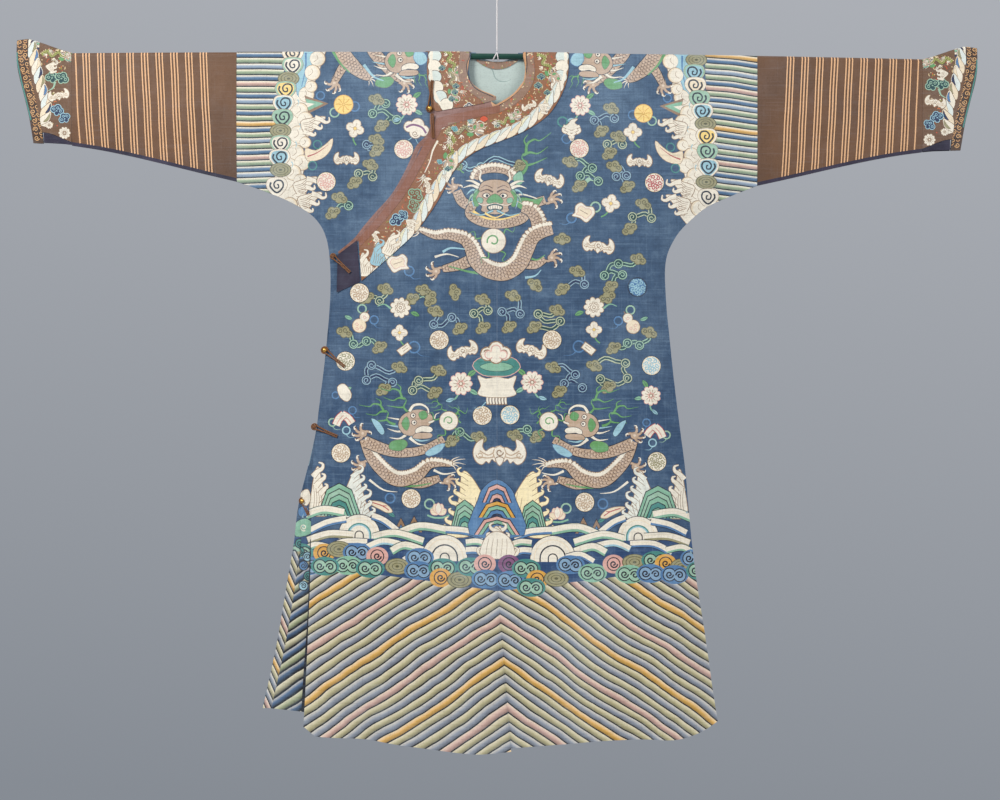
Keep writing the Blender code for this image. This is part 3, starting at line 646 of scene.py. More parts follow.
def hang(name, form, shapes, paints, ground, folds=(), seed=0.0, spacing=9.0,
         wall=WALL, lift=0.0, swell=1.0):
    """Cuts a panel with its shapes, hangs it on its form and gives it a wall and an inside.
    paints are the materials, where 0 is the ground's and the last the inside's."""
    low, high = np.array(form.outline).min(0), np.array(form.outline).max(0)
    near = []
    for points, silk in shapes:
        spot = np.array(points)
        if (spot.max(0) > low).all() and (spot.min(0) < high).all():
            near.append((points, silk))
    arch = (-7.4, -6.6, -5.2, -3.4, -1.4, 1.0) if low[1] < -5 else ()
    places, triangles, top = cut(form.outline, near, spacing, arch)
    used = sorted({k for corner in triangles for k in corner})
    renumber = {old: new for new, old in enumerate(used)}
    places = places[used]
    triangles = [tuple(renumber[k] for k in corner) for corner in triangles]

    def outward(spots):
        """How far the creases and the swell lift the cloth, nothing at its edges over the rod."""
        x, drop = spots.T
        free = ease(drop / 60) * ease((np.abs(form.at(x, drop)) - wall - 1.5) / 5)
        return (creased(x, drop, folds) + unevenness(x, drop, seed) * swell) * free + lift

    def hung(spots, inset):
        x, drop = spots.T
        depth = form.at(x, drop) + outward(spots)
        up = np.zeros(len(x))
        if inset:
            over = drop < 0
            radius = np.maximum(np.hypot(depth, drop), 1e-6)
            up = np.where(over, -inset * -drop / radius, 0.0)
            depth = depth - np.where(over, inset * depth / radius, inset)
            depth = np.where(form.at(x, drop) > 0, np.maximum(depth, 0.12), depth)
        z = rod_line(x) + form.rise(x) - ROD_DROP - drop + up
        return np.stack([x, form.side * depth, z], 1) * MM

    ends = {}
    for corner in triangles:
        for a, b in zip(corner, corner[1:] + corner[:1]):
            ends[(a, b)] = ends.get((a, b), 0) + 1
    rim = {a: b for a, b in ends if (b, a) not in ends}
    start = at = next(iter(rim))
    loop = []
    while True:
        loop.append(at)
        at = rim[at]
        if at == start or len(loop) > len(rim):
            break
    back, back_faces, _ = cut([tuple(places[k]) for k in loop], [], spacing)
    first = len(places)
    match = {}
    for k in loop:
        match[k] = int(np.argmin(((back - places[k]) ** 2).sum(1))) + first
    spots = np.concatenate([places, back])
    points = np.concatenate([hung(places, 0.0), hung(back, wall)])
    faces = [corner[::-1] if form.side < 0 else corner for corner in triangles]
    materials = [paints_of(near[k][1], paints)[0] if k >= 0 else 0 for k in top]
    colours = [paints_of(near[k][1], paints)[1] if k >= 0 else ground for k in top]
    for corner in back_faces:
        corner = tuple(k + first for k in corner)
        faces.append(corner if form.side < 0 else corner[::-1])
    materials += [len(paints) - 1] * len(back_faces)
    colours += [ground] * len(back_faces)
    for a, b in rim.items():
        face = (a, b, match[b], match[a])
        faces.append(face if form.side < 0 else face[::-1])
    materials += [0] * len(rim)
    colours += [ground] * len(rim)

    mesh = bpy.data.meshes.new(name)
    mesh.from_pydata(points.tolist(), [], faces)
    mesh.update()
    for paint in paints:
        mesh.materials.append(paint)
    mesh.polygons.foreach_set("material_index", materials)
    counts = [len(face) for face in faces]
    tint = np.repeat(np.array([(*colour, 1.0) for colour in colours]), counts, 0)
    layer = mesh.color_attributes.new("dye", "FLOAT_COLOR", "CORNER")
    layer.data.foreach_set("color", tint.ravel())
    lay_flat(mesh, spots, len(triangles), low, high)
    mesh.shade_smooth()
    mesh.set_sharp_from_angle(angle=math.radians(50))
    return mesh


def paints_of(silk, paints):
    """A shape's silk is a colour, or a number that picks one of the panel's materials."""
    return (silk, (0.5, 0.5, 0.5)) if isinstance(silk, int) else (0, silk)


def lay_flat(mesh, spots, front_faces, low, high):
    """A map of the cloth laid flat: the outside on the left half, the inside on the right."""
    size = max(high[1] - low[1], (high[0] - low[0]) * 2.1)
    layer = mesh.uv_layers.new(name="OFBake")
    corner_vertex = np.empty(len(mesh.loops), int)
    mesh.loops.foreach_get("vertex_index", corner_vertex)
    starts = np.empty(len(mesh.polygons), int)
    mesh.polygons.foreach_get("loop_start", starts)
    first_inside = starts[front_faces] if front_faces < len(starts) else len(corner_vertex)
    uv = (spots[corner_vertex] - low) / size
    uv[:, 1] = 1 - uv[:, 1]
    uv[first_inside:, 0] += 0.5
    layer.uv.foreach_set("vector", (0.002 + 0.996 * uv).astype(np.float32).ravel())
    layer.active_render = True


# The woven ornament
# Flat shapes, each in its own dyed silk, as tapestry is woven: clouds, bats, flowers, emblems,
# dragons, waves and mountains, drawn from curves. Sizes here are in steps of 2 mm.
STEP_MM, MIDDLE_STEP, ROD_STEP = 2.0, 497.0, 56.5  # the photo's pixel, and where x and drop are 0

BLUE = dye(54, 79, 110)
CREAM, BONE, TAN_SILK = dye(230, 224, 209), dye(228, 214, 188), dye(142, 114, 88)
OLIVE, OLIVE_DARK = dye(150, 146, 112), dye(92, 90, 64)
MINT, MINT_DARK = dye(150, 186, 164), dye(34, 68, 72)
SKY, STEEL, NAVY = dye(148, 190, 206), dye(82, 122, 168), dye(38, 50, 84)
TEAL, JADE, LEAF = dye(70, 132, 126), dye(130, 178, 152), dye(100, 154, 98)
HAZE, PALE_MOSS = dye(136, 168, 188), dye(176, 188, 160)
RED, ROSE, PLUM = dye(172, 74, 76), dye(212, 164, 154), dye(126, 80, 118)
AMBER, STRAW = dye(212, 160, 74), dye(238, 208, 124)
SCALE, SCALE_DARK, SCALE_LIGHT = dye(186, 162, 140), dye(92, 70, 64), dye(214, 196, 178)
FAINT = dye(184, 160, 134)  # fine lines within the cream shapes
BLACK = dye(34, 32, 42)
EDGE_BROWN, PIPING = dye(134, 86, 64), dye(200, 150, 104)


def curved(points, closed=False, per=4):
    """A smooth line through points."""
    points = np.array(points, float)
    count = len(points)
    if count < 3:
        return points
    out = []
    for k in range(count if closed else count - 1):
        rows = [(k + n) % count if closed else min(max(k + n, 0), count - 1) for n in (-1, 0, 1, 2)]
        a, b, c, d = points[rows]
        for step in range(per):
            t = step / per
            out.append(0.5 * (
                2 * b + (c - a) * t + (2 * a - 5 * b + 4 * c - d) * t * t
                + (3 * b - a - 3 * c + d) * t**3
            ))
    if not closed:
        out.append(points[-1])
    return np.array(out)


def beside(line, distance):
    """A line moved sideways, by one distance or one for each of its points."""
    way = np.gradient(line, axis=0)
    way /= np.maximum(np.hypot(way[:, 0], way[:, 1]), 1e-6)[:, None]
    across = np.stack([-way[:, 1], way[:, 0]], 1)
    return line + across * np.broadcast_to(distance, len(line))[:, None]


class Drawing:
    """Shapes in the order that they are laid, each a ring of points and a colour."""

    def __init__(self, shapes=None, frame_of=None):
        self.shapes = [] if shapes is None else shapes
        self.frame_of = np.eye(3) if frame_of is None else frame_of

    def at(self, x, y, size=1.0, turn=0.0, flip=1.0):
        """The same drawing, for shapes moved, turned, made larger or turned over."""
        c, s = math.cos(math.radians(turn)) * size, math.sin(math.radians(turn)) * size
        local = np.array([[c * flip, -s, x], [s * flip, c, y], [0, 0, 1]])
        return Drawing(self.shapes, self.frame_of @ local)

    def shape(self, points, colour):
        points = np.array(points, float)
        laid = points @ self.frame_of[:2, :2].T + self.frame_of[:2, 2]
        mm = (laid - (MIDDLE_STEP, ROD_STEP)) * STEP_MM
        self.shapes.append(([tuple(point) for point in mm.tolist()], colour))

    def blob(self, points, colour, edge=None, width=0.6, per=3):
        ring = curved(points, True, per)
        if edge is not None:
            closed = np.concatenate([ring[-2:], ring, ring[:2]])
            out = beside(closed, width if signed_area(ring) < 0 else -width)[2:-2]
            self.shape(out, edge)
        self.shape(ring, colour)

    def disc(self, x, y, radius, colour, tall=None, count=None):
        count = count or max(8, min(28, int(radius * 3.2)))
        angle = np.arange(count) * 2 * math.pi / count
        ring = np.stack([x + radius * np.cos(angle), y + (tall or radius) * np.sin(angle)], 1)
        self.shape(ring, colour)

    def line(self, points, width, colour, end=None, per=4):
        """A band along a smooth line, which may narrow to its end."""
        way = curved(points, per=per)
        widths = np.linspace(width, width if end is None else end, len(way)) / 2
        sides = [beside(way, widths), beside(way, -widths)[::-1]]
        self.shape(np.concatenate(sides), colour)

    def spiral(self, x, y, radius, colour, width=0.8, turns=1.4, start=0.0, inner=0.6):
        steps = int(turns * 12)
        angle = math.radians(start) + np.arange(steps + 1) / steps * turns * 2 * math.pi
        reach = np.linspace(radius, inner, steps + 1)
        way = np.stack([x + reach * np.cos(angle), y + reach * np.sin(angle)], 1)
        sides = [beside(way, width / 2), beside(way, -width / 2)[::-1]]
        self.shape(np.concatenate(sides), colour)

    def loop(self, x, y, radius, colour, width=1.1, inside=BLUE, tall=1.0):
        """A ribbon's ring, with the ground seen through it."""
        self.disc(x, y, radius, colour, radius * tall)
        self.disc(x, y, radius - width, inside, (radius - width) * tall)


def puff(d, x, y, size=1.0, turn=0.0, fill=OLIVE, edge=OLIVE_DARK):
    """A cloud's head: rounded lobes with fine curls."""
    d = d.at(x, y, size, turn)
    lobes = ((-3.7, 0.5, 2.8), (3.6, 0.3, 2.8), (0.1, -1.6, 3.1), (0.0, 1.8, 2.7))
    for lx, ly, radius in lobes:
        d.disc(lx, ly, radius + 0.5, edge)
    for lx, ly, radius in lobes:
        d.disc(lx, ly, radius, fill)
    for lx, ly, radius in lobes[:3]:
        d.spiral(lx, ly, radius * 0.66, edge, 0.6, 1.2, 40 * lx)



def cloud(d, heads, curls, pale=MINT, deep=MINT_DARK):
    """Two heads joined by a scrolling double line with a curl at each bend."""
    nodes = [np.array(p, float) for p in [heads[0]] + list(curls) + [heads[-1]]]
    path = [nodes[0]]
    for n, (a, b) in enumerate(zip(nodes, nodes[1:])):
        way = b - a
        side = np.array([-way[1], way[0]]) * (0.22 if n % 2 else -0.22)
        path += [a + way * 0.35 + side, a + way * 0.7 + side * 0.4, b]
    for width, colour in ((4.9, BLACK), (4.1, pale), (2.1, deep)):
        d.line(path, width, colour, per=3)
    for n, (x, y) in enumerate(curls):
        d.disc(x, y, 5.1, BLACK)
        d.disc(x, y, 4.7, pale)
        d.disc(x, y, 3.7, deep)
        d.spiral(x, y, 2.8, pale, 0.9, 1.0, 90 * n, 0.9)
    for width, colour in ((3.4, pale), (1.7, deep)):
        d.line(path[:3], width, colour, per=3)
    for n, (x, y) in enumerate(heads):
        puff(d, x, y, 1.25, 20 - 50 * n)



def bat(d, fill=CREAM, edge=TAN_SILK, rim=0.7):
    """A bat seen from above: hooked wings with scalloped edges."""
    for flip in (1, -1):
        w = d.at(0, 0, flip=flip)
        wing = [
            (0.4, -1.2), (2.4, -2.8), (4.4, -2.0), (5.8, -1.2), (7.2, -3.2), (6.8, -6.2), (9.6, -4.4),
            (10.9, -0.6), (9.8, 2.8), (7.4, 4.2), (5.6, 2.8), (4.4, 3.6), (3.2, 1.9), (1.8, 3.0), (0.4, 2.0),
        ]
        w.blob(wing, fill, edge, rim)
        w.line([(2.4, -0.8), (4.8, 0.4), (8.2, -1.4)], 0.5, FAINT)
        w.line([(2.2, 1.0), (5.0, 1.6), (8.6, 1.0)], 0.5, FAINT)
        w.spiral(8.2, 0.4, 1.5, FAINT, 0.45, 1.0)
    d.disc(0, -0.4, 2.9, FAINT, 3.4)
    d.disc(0, -0.4, 2.5, fill, 3.0)
    d.blob([(-1.6, 2.0), (0, 1.2), (1.6, 2.0), (0, 4.6)], fill, edge, 0.4)
    d.spiral(0, -0.8, 1.6, edge, 0.5, 1.0)


def leaf(d, x, y, size=1.0, turn=0.0, fill=LEAF, edge=MINT_DARK):
    d = d.at(x, y, size, turn)
    d.blob([(0, 0), (2.6, -1.9), (5.6, -1.6), (8.0, 0.2), (5.4, 1.6), (2.4, 1.4)], fill, edge, 0.35)
    d.line([(0.6, 0), (4, -0.2), (7.2, 0.1)], 0.35, edge)


def blossom(d, fill=CREAM, edge=FAINT):
    """Four round petals."""
    d.line([(0, 3), (1.4, 7), (4.2, 9.6)], 0.9, LEAF)
    for turn in range(0, 360, 90):
        d.at(0, 0, turn=turn).disc(3.1, 0, 2.9, edge)
    for turn in range(0, 360, 90):
        p = d.at(0, 0, turn=turn)
        p.disc(3.1, 0, 2.5, fill)
        p.line([(1.2, 0), (3.6, 0)], 0.35, edge)
    d.disc(0, 0, 1.4, edge)
    d.disc(0, 0, 0.9, STRAW)


def peony(d, fill=CREAM, edge=ROSE, heart=TAN_SILK, leaves=True):
    """A full flower: two rings of petals with fine veins."""
    if leaves:
        leaf(d, 5.0, -5.0, 1.0, -40)
        leaf(d, 6.0, 4.6, 0.9, 25, JADE)
        d.line([(-1, 6), (-4, 11), (-9, 13)], 1.2, JADE)
        leaf(d, -5, 11, 0.8, 160, SKY)
    for turn in range(0, 360, 36):
        d.at(0, 0, turn=turn).disc(6.2, 0, 2.7, edge, 2.4)
    for turn in range(0, 360, 36):
        d.at(0, 0, turn=turn).disc(6.1, 0, 2.2, fill, 1.95)
    d.disc(0, 0, 6.0, fill)
    for turn in range(0, 360, 30):
        d.at(0, 0, turn=turn).line([(2.9, 0), (5.4, 0.3)], 0.45, heart)
    for turn in range(0, 360, 60):
        d.at(0, 0, turn=turn).disc(2.2, 0, 1.0, edge)
    d.disc(0, 0, 1.7, heart)
    d.disc(0, 0, 1.1, fill)



def medallion(d, fill=CREAM, marks=TAN_SILK, rim=BONE):
    """A round badge of small curls."""
    d.disc(0, 0, 9.9, BLACK, count=26)
    d.disc(0, 0, 9.3, rim, count=26)
    d.disc(0, 0, 8.4, fill, count=24)
    for k in range(7):
        p = d.at(0, 0, turn=k * 360 / 7)
        p.spiral(5.5, 0, 2.2, marks, 1.15, 1.1, 50 * k)
        p.line([(7.8, 2.6), (6.2, 3.8)], 0.9, marks)
        p.disc(8.0, -2.0, 0.7, marks)
    for k in range(4):
        d.at(0, 0, turn=k * 90 + 20).spiral(2.1, 0, 1.5, marks, 1.0, 0.9, 70 * k)


def coin(d):
    """A golden coin tied with ribbons."""
    d.loop(-9, 8, 5.2, MINT, 1.4)
    d.loop(11, 2, 5.4, STEEL, 1.3)
    d.disc(0, 0, 9.8, AMBER, count=26)
    d.disc(0, 0, 9.1, STRAW, count=26)
    for turn in range(0, 360, 45):
        d.at(0, 0, turn=turn).line([(2.6, 0), (5.2, 0.5), (8.0, 0)], 0.8, AMBER)
    d.disc(0, 0, 2.0, AMBER)
    d.disc(0, 0, 1.2, STRAW)


def tied(d, loops=((-8, 6, MINT), (8, -6, SKY))):
    """Ribbon rings beside an emblem."""
    for x, y, colour in loops:
        d.loop(x, y, 4.8, BLACK, 2.2)
        d.loop(x, y, 4.5, colour, 1.3)
        d.line([(x, y + 4), (x + 3, y + 7), (x + 8, y + 7)], 0.8, colour, 0.2)


def plaque(d):
    tied(d, ((-7, -7, MINT), (8, 8, STEEL)))
    ring = [(-8, -2), (-5, -6), (0, -4.6), (5, -6), (8, -2), (6.6, 3), (8, 6), (2, 5.4), (-4, 7), (-6.4, 3)]
    d.blob(ring, CREAM, TAN_SILK, 0.6)
    d.blob([(x * 0.68, y * 0.62) for x, y in ring], BONE, ROSE, 0.4)
    d.line([(-3.4, 0.6), (3.6, -0.4)], 0.5, TAN_SILK)


def gourd(d):
    tied(d, ((0, -11, MINT), (11, -1, STEEL)))
    leaf(d, -9, -2, 0.9, 200, JADE)
    d.disc(2.4, -3.6, 4.8, TAN_SILK)
    d.disc(-2.4, 4.2, 6.6, TAN_SILK)
    d.disc(2.4, -3.6, 4.2, CREAM)
    d.disc(-2.4, 4.2, 6.0, BONE)
    for x, y in ((2.4, -3.6), (-4.6, 2.6), (-0.4, 5.4), (-4.4, 6.6)):
        d.spiral(x, y, 1.7, ROSE, 0.5, 1.1)
    d.line([(4, -7.2), (6, -9.4)], 0.9, TAN_SILK)


def lotus(d):
    leaf(d, 9, 4, 1.0, 20)
    d.line([(-8, 1), (-14, -3), (-20, -1)], 1.8, JADE, 0.4)
    for turn in range(0, 360, 40):
        d.at(0, 0, turn=turn).disc(6.4, 0, 3.0, TAN_SILK, 2.6)
    for turn in range(0, 360, 40):
        d.at(0, 0, turn=turn).disc(6.3, 0, 2.5, CREAM, 2.2)
    d.disc(0, 0, 6.2, CREAM)
    for k in range(9):
        p = d.at(0, 0, turn=k * 40)
        p.disc(3.7, 0, 1.2, TAN_SILK)
        p.disc(3.7, 0, 0.75, CREAM)
    d.disc(0, 0, 1.6, TAN_SILK)
    d.disc(0, 0, 1.0, CREAM)


def rolled_scroll(d):
    d.loop(9, -1, 6.0, STEEL, 1.4)
    d.line([(12, 4), (16, 7), (24, 8)], 0.9, STEEL, 0.2)
    d.shape([(-8, 2), (3, -6), (7.4, 0), (-3, 8)], TAN_SILK)
    d.shape([(-7, 2.1), (2.8, -5), (6.4, 0), (-2.9, 6.9)], CREAM)
    d.line([(-2.6, 0.6), (2.2, -2.6)], 0.5, TAN_SILK)
    d.line([(-1.2, 3), (3.6, -0.6)], 0.5, TAN_SILK)


def sceptre(d):
    """A double bent sceptre head in rings of ribbon."""
    tied(d, ((-11, 4, MINT), (3, 12, SKY), (9, -8, STEEL)))
    for flip in (1, -1):
        s = d.at(0, 0, turn=-6, flip=flip)
        s.line([(-1, -4), (4.4, 0), (8, 6)], 8.6, RED)
        s.line([(-1, -4), (4.4, 0), (8, 6)], 7.2, CREAM)
        s.line([(-0.4, -3), (4.2, 1), (7.2, 5.4)], 1.0, ROSE)


def horn(d):
    d.loop(7, -8, 5.0, STEEL, 1.3)
    leaf(d, 5, 5, 0.9, 30, TEAL)
    d.blob([(-13, -5), (-4, -5), (4, -2), (9, 4), (4, 5), (-2, 2), (-8, -1)], BONE, TAN_SILK, 0.5)
    d.line([(-9, -4), (0, -1), (6, 3)], 0.9, RED)
    d.line([(0, -1), (4, -1)], 0.7, RED)


def small_lotus(d):
    d.loop(-8, -5, 5.0, MINT, 1.4)
    for turn, length in ((-60, 8), (-20, 9.5), (20, 9.5), (60, 8)):
        p = d.at(0, 4, turn=turn)
        p.blob([(0, 0), (-3, -length * 0.55), (0, -length), (3, -length * 0.55)], BONE, ROSE, 0.5)
    d.blob([(0, 4), (-2.6, -1), (0, -6), (2.6, -1)], CREAM, ROSE, 0.5)
    d.line([(-10, 5), (-4, 7.2), (4, 7.2), (10, 5)], 1.6, JADE)


def conch(d):
    """A shell of rising coils, on ribbons."""
    d.loop(-9, -9, 5.4, TEAL, 1.4)
    d.loop(-5, 8, 5.2, STEEL, 1.2)
    d.blob([(-3, -7), (0, -11), (6, -12), (3, -8), (8, -4), (9, 1), (2, 4), (-8, 2), (-9, -3)], CREAM, TAN_SILK)
    for k in range(4):
        y, wide = -3.5 + 3.3 * k, 8.4 - 2.0 * k
        d.line([(-wide, y - 1.4), (0, y + 1.6), (wide, y - 1.4)], 3.2, TAN_SILK)
        d.line([(-wide + 0.4, y - 1.4), (0, y + 1.3), (wide - 0.4, y - 1.4)], 2.5, CREAM)
    d.disc(0.4, 8.6, 1.8, CREAM)
    d.spiral(0.4, 8.4, 1.2, TAN_SILK, 0.4)


def mushroom(d):
    for flip in (1, -1):
        d.at(0, 0, flip=flip).line([(0, 3), (2, 9), (6, 13)], 1.0, SKY, 0.3)
    for x, y, radius in ((-6.5, 0, 4.6), (6.5, 0, 4.6), (0, -3.6, 5.4), (0, 3.4, 5.0)):
        d.disc(x, y, radius + 0.6, TAN_SILK)
    for x, y, radius in ((-6.5, 0, 4.6), (6.5, 0, 4.6), (0, -3.6, 5.4), (0, 3.4, 5.0)):
        d.disc(x, y, radius, CREAM)
    d.line([(-9, 1.5), (-4, -2.4), (4, -2.4), (9, 1.5)], 1.7, PLUM)
    d.spiral(0, 4.6, 2.8, TAN_SILK, 0.6, 1.4)


def flame(d, fill=LEAF, edge=MINT_DARK):
    """A flame on a bent stem, whose prongs fork and run out to points."""
    forks = (
        ([(0, 0), (5, -5), (7, -11), (2, -17), (3, -22)], 3.6),
        ([(6, -10), (14, -12), (27, -18)], 2.8),
        ([(3, -20), (10, -23), (18, -22), (28, -29)], 3.0),
        ([(6, -22), (7, -31), (14, -36), (20, -35), (31, -43)], 3.0),
        ([(7, -29), (4, -35), (8, -41)], 2.2),
    )
    for line, width in forks:
        d.line(line, width + 0.9, edge, 0.6)
    for line, width in forks:
        d.line(line, width, fill, 0.4)


def claw(d, flip=1, cuff=True):
    """A dragon's foot: a brown palm and hooked toes with pale nails."""
    d = d.at(0, 0, flip=flip)
    toes = ((-64, 8.4), (-26, 9.6), (14, 9.6), (58, 8.4), (150, 6.4))
    for turn, length in toes:
        t = d.at(0, 0, turn=turn)
        t.line([(0, 0), (length * 0.6, -0.8), (length, 1.0)], 3.8, SCALE_DARK, 2.4)
        t.disc(length, 1.2, 1.9, SCALE_DARK)
    d.disc(0, 0, 4.0, SCALE_DARK)
    for turn, length in toes:
        t = d.at(0, 0, turn=turn)
        t.line([(0, 0), (length * 0.6, -0.8), (length, 1.0)], 3.0, SCALE, 1.6)
        t.line([(length - 0.4, 0.2), (length + 1.4, 1.8), (length + 0.6, 3.8)], 1.9, CREAM, 0.4)
    d.disc(0, 0, 3.4, SCALE)
    d.disc(0.6, 0, 1.4, SCALE_LIGHT)



def dragon_body(d, path, widths, ridge=-1, belly=None):
    """A scaled body along a path, with a spiny ridge on one side (-1 or 1), and maybe a band of
    another colour on the other."""
    way = curved(path, per=7)
    count = len(way)
    share = np.linspace(0, 1, count)
    half = np.interp(share, np.linspace(0, 1, len(widths)), widths) / 2
    for extra, colour in ((0.8, BLACK), (0.0, SCALE)):
        sides = [beside(way, half + extra), beside(way, -half - extra)[::-1]]
        d.shape(np.concatenate(sides), colour)
    if belly is not None:
        inner = beside(way, -ridge * half * 0.96)
        mid = beside(way, -ridge * half * 0.5)
        d.shape(np.concatenate([inner, mid[::-1]]), belly)
    length = np.concatenate([[0], np.cumsum(np.hypot(*np.diff(way, axis=0).T))])

    def station(mark):
        at = np.interp(mark, length, np.arange(count))
        k = min(int(at), count - 2)
        ahead = way[k + 1] - way[k]
        ahead = ahead / max(np.hypot(*ahead), 1e-6)
        return way[k] + (way[k + 1] - way[k]) * (at - k), ahead, np.array([-ahead[1], ahead[0]]), half[k]

    for n, mark in enumerate(np.arange(1.6, length[-1] - 1, 2.9)):
        spot, ahead, side, wide = station(mark)
        rows = max(2, round(wide * 2 / 3.7))
        pitch = 1.84 * wide / rows
        for row in range(rows + n % 2):
            off = (row - (rows - 1 + n % 2) / 2) * pitch
            if abs(off) > wide * 0.86:
                continue
            c = spot + side * off
            arc = []
            for angle in (-90, -45, 0, 45, 90):
                a = math.radians(angle)
                arc.append(c + ahead * 2.1 * math.cos(a) + side * pitch * 0.5 * math.sin(a))
            arc = np.array(arc)
            d.shape(np.concatenate([arc, (arc - ahead * 0.72)[::-1]]), SCALE_DARK)
            d.shape([c + ahead * 0.7, c + side * pitch * 0.2 - ahead * 0.2, c - side * pitch * 0.2 - ahead * 0.2],
                    SCALE_LIGHT)
    if ridge:
        marks = [station(mark) for mark in np.arange(0.8, length[-1], 3.0)]
        for grown, colour in ((0.7, TAN_SILK), (0.0, CREAM)):
            for spot, ahead, side, wide in marks:
                c, out = spot + side * ridge * wide, side * ridge
                d.shape([c - ahead * (1.8 + grown) - out * 1.6, c + ahead * (1.8 + grown) - out * 1.6,
                         c + ahead * (1.7 + grown) + out * (0.9 + grown), c + ahead * 0.6 + out * (2.4 + grown),
                         c - ahead * (1.5 + grown) + out * (1.2 + grown)], colour)


def tail_hair(d, colour=CREAM, edge=TAN_SILK):
    for turn, length in ((-34, 13), (-16, 17), (2, 16), (20, 12), (40, 9)):
        t = d.at(0, 0, turn=turn)
        t.line([(0, 0), (length * 0.5, -1.6), (length, 0.6)], 2.2, edge, 0.2)
        t.line([(0, 0), (length * 0.5, -1.6), (length, 0.6)], 1.5, colour, 0.1)


def front_face(d):
    """A dragon's face seen from in front."""
    for flip in (1, -1):
        f = d.at(0, 0, flip=flip)
        for n, (x, y) in enumerate(((34, -16), (37, -9), (33, -2), (31, 6), (24, 11))):
            colour = (CREAM, CREAM, SKY, MINT, SKY)[n]
            f.line([(10, -8 + 3 * n), (22, (y - 10) * 0.6), (x * 0.86, y)], 5.2, BLACK, 0.5)
            f.line([(10, -8 + 3 * n), (22, (y - 10) * 0.6), (x * 0.86, y)], 4.2, colour, 0.3)
        f.line([(8, -12), (15, -18), (14, -26), (20, -30)], 3.6, TAN_SILK, 1.0)
        f.line([(8, -12), (15, -18), (14, -26), (20, -30)], 2.6, CREAM, 0.6)
        f.blob([(11, -4), (18, -8), (21, -3), (16, 1)], JADE, BLACK, 0.5)
    d.blob([(-16, -8), (-12, -15), (0, -17.5), (12, -15), (16, -8), (19, 3), (13, 9), (13, 14), (0, 17),
            (-13, 14), (-13, 9), (-19, 3)], SCALE, BLACK, 0.7)
    for flip in (1, -1):
        f = d.at(0, 0, flip=flip)
        f.line([(2, -5), (8, -7.6), (15, -5)], 1.9, SCALE_DARK, 0.5)
        f.line([(2.4, -9), (9, -11.8), (14, -9)], 0.9, SCALE_DARK, 0.3)
        f.disc(8.6, -1.6, 4.2, SCALE_DARK, 2.9)
        f.disc(8.6, -1.6, 3.3, CREAM, 2.1)
        f.disc(7.8, -1.4, 1.5, BLACK)
        f.blob([(12, 1.6), (17, 0.4), (17.4, 4.4), (13, 6)], JADE, SCALE_DARK, 0.4)
        f.line([(2, 6), (12, 8), (22, 4), (30, 9)], 2.0, TAN_SILK, 0.3)
        f.line([(2, 6), (12, 8), (22, 4), (30, 9)], 1.2, CREAM, 0.2)
        f.line([(2, 13), (14, 18), (26, 15)], 3.0, MINT_DARK, 0.3)
        f.line([(2, 13), (14, 18), (26, 15)], 2.0, SKY, 0.2)
    d.blob([(-8, 3), (0, -3.4), (8, 3), (6, 6.4), (0, 5), (-6, 6.4)], LEAF, SCALE_DARK, 0.4)
    for flip in (1, -1):
        d.at(0, 0, flip=flip).blob([(15, -7), (19, 1), (16, 8), (20, 9), (22, -1)], LEAF, SCALE_DARK, 0.3)
    d.blob([(-8, 9), (0, 6.6), (8, 9), (6.4, 13.4), (0, 12.4), (-6.4, 13.4)], MINT_DARK)
    d.blob([(-6.6, 9.6), (0, 7.8), (6.6, 9.6), (5, 12.2), (0, 11.2), (-5, 12.2)], CREAM)
    for x in (-4.6, -2.2, 0.2, 2.6, 4.8):
        d.line([(x, 8.2), (x, 11.6)], 0.4, SCALE_DARK)
    d.line([(-10, 16), (0, 20.4), (10, 16)], 2.2, STRAW, 0.6)


def side_face(d):
    """A dragon's head turned to +x, its mouth open, with both eyes showing."""
    manes = (
        ([(-6, 2), (-16, 0), (-28, -2)], CREAM), ([(-8, 6), (-18, 7), (-30, 5)], SKY),
        ([(-8, 10), (-18, 12), (-28, 9)], CREAM), ([(-8, 14), (-16, 19), (-26, 18)], CREAM),
        ([(-4, 16), (4, 21), (14, 20)], SKY), ([(-6, 18), (2, 24), (10, 25)], CREAM),
    )
    for line, colour in manes:
        d.line(line, 4.0, BLACK, 0.5)
    for line, colour in manes:
        d.line(line, 3.2, colour, 0.3)
    d.blob([(-17, 6), (-14, -3), (-6, -8), (3, -10), (12, -8), (17, -2), (15, 4), (10, 8), (4, 11), (-3, 16),
            (-12, 14)], SCALE, BLACK, 0.6)
    d.blob([(-14, 4), (-9, -3), (-6, 4), (-9, 11)], LEAF, SCALE_DARK, 0.3)
    d.line([(-6, -8), (-2, -14), (6, -15), (12, -11), (13, -5)], 3.8, BLACK, 2.0)
    d.line([(-6, -8), (-2, -14), (6, -15), (12, -11), (13, -5)], 2.9, CREAM, 1.2)
    d.blob([(3, -6), (9, -9), (12, -3), (6, 0)], LEAF, SCALE_DARK, 0.3)
    for x, y in ((-2.5, -4), (-1.5, 3)):
        d.disc(x, y, 3.0, SCALE_DARK)
        d.disc(x, y, 2.3, CREAM)
        d.disc(x + 0.4, y, 1.0, BLACK)
    d.line([(13, 3), (18, 1), (20, -5), (24, -7)], 3.0, BLACK, 0.5)
    d.line([(13, 3), (18, 1), (20, -5), (24, -7)], 2.2, CREAM, 0.3)
    d.blob([(0, 10), (6, 6.6), (14, 7), (17, 10), (14, 12.6), (6, 11.8), (1, 14)], CREAM, BLACK, 0.5)
    d.blob([(0, 14), (8, 13), (16, 14), (15, 18), (4, 19), (-3, 18)], SCALE, BLACK, 0.5)
    d.blob([(-24, 22), (-12, 20), (-8, 25), (-15, 31), (-26, 29)], LEAF, SCALE_DARK, 0.4)


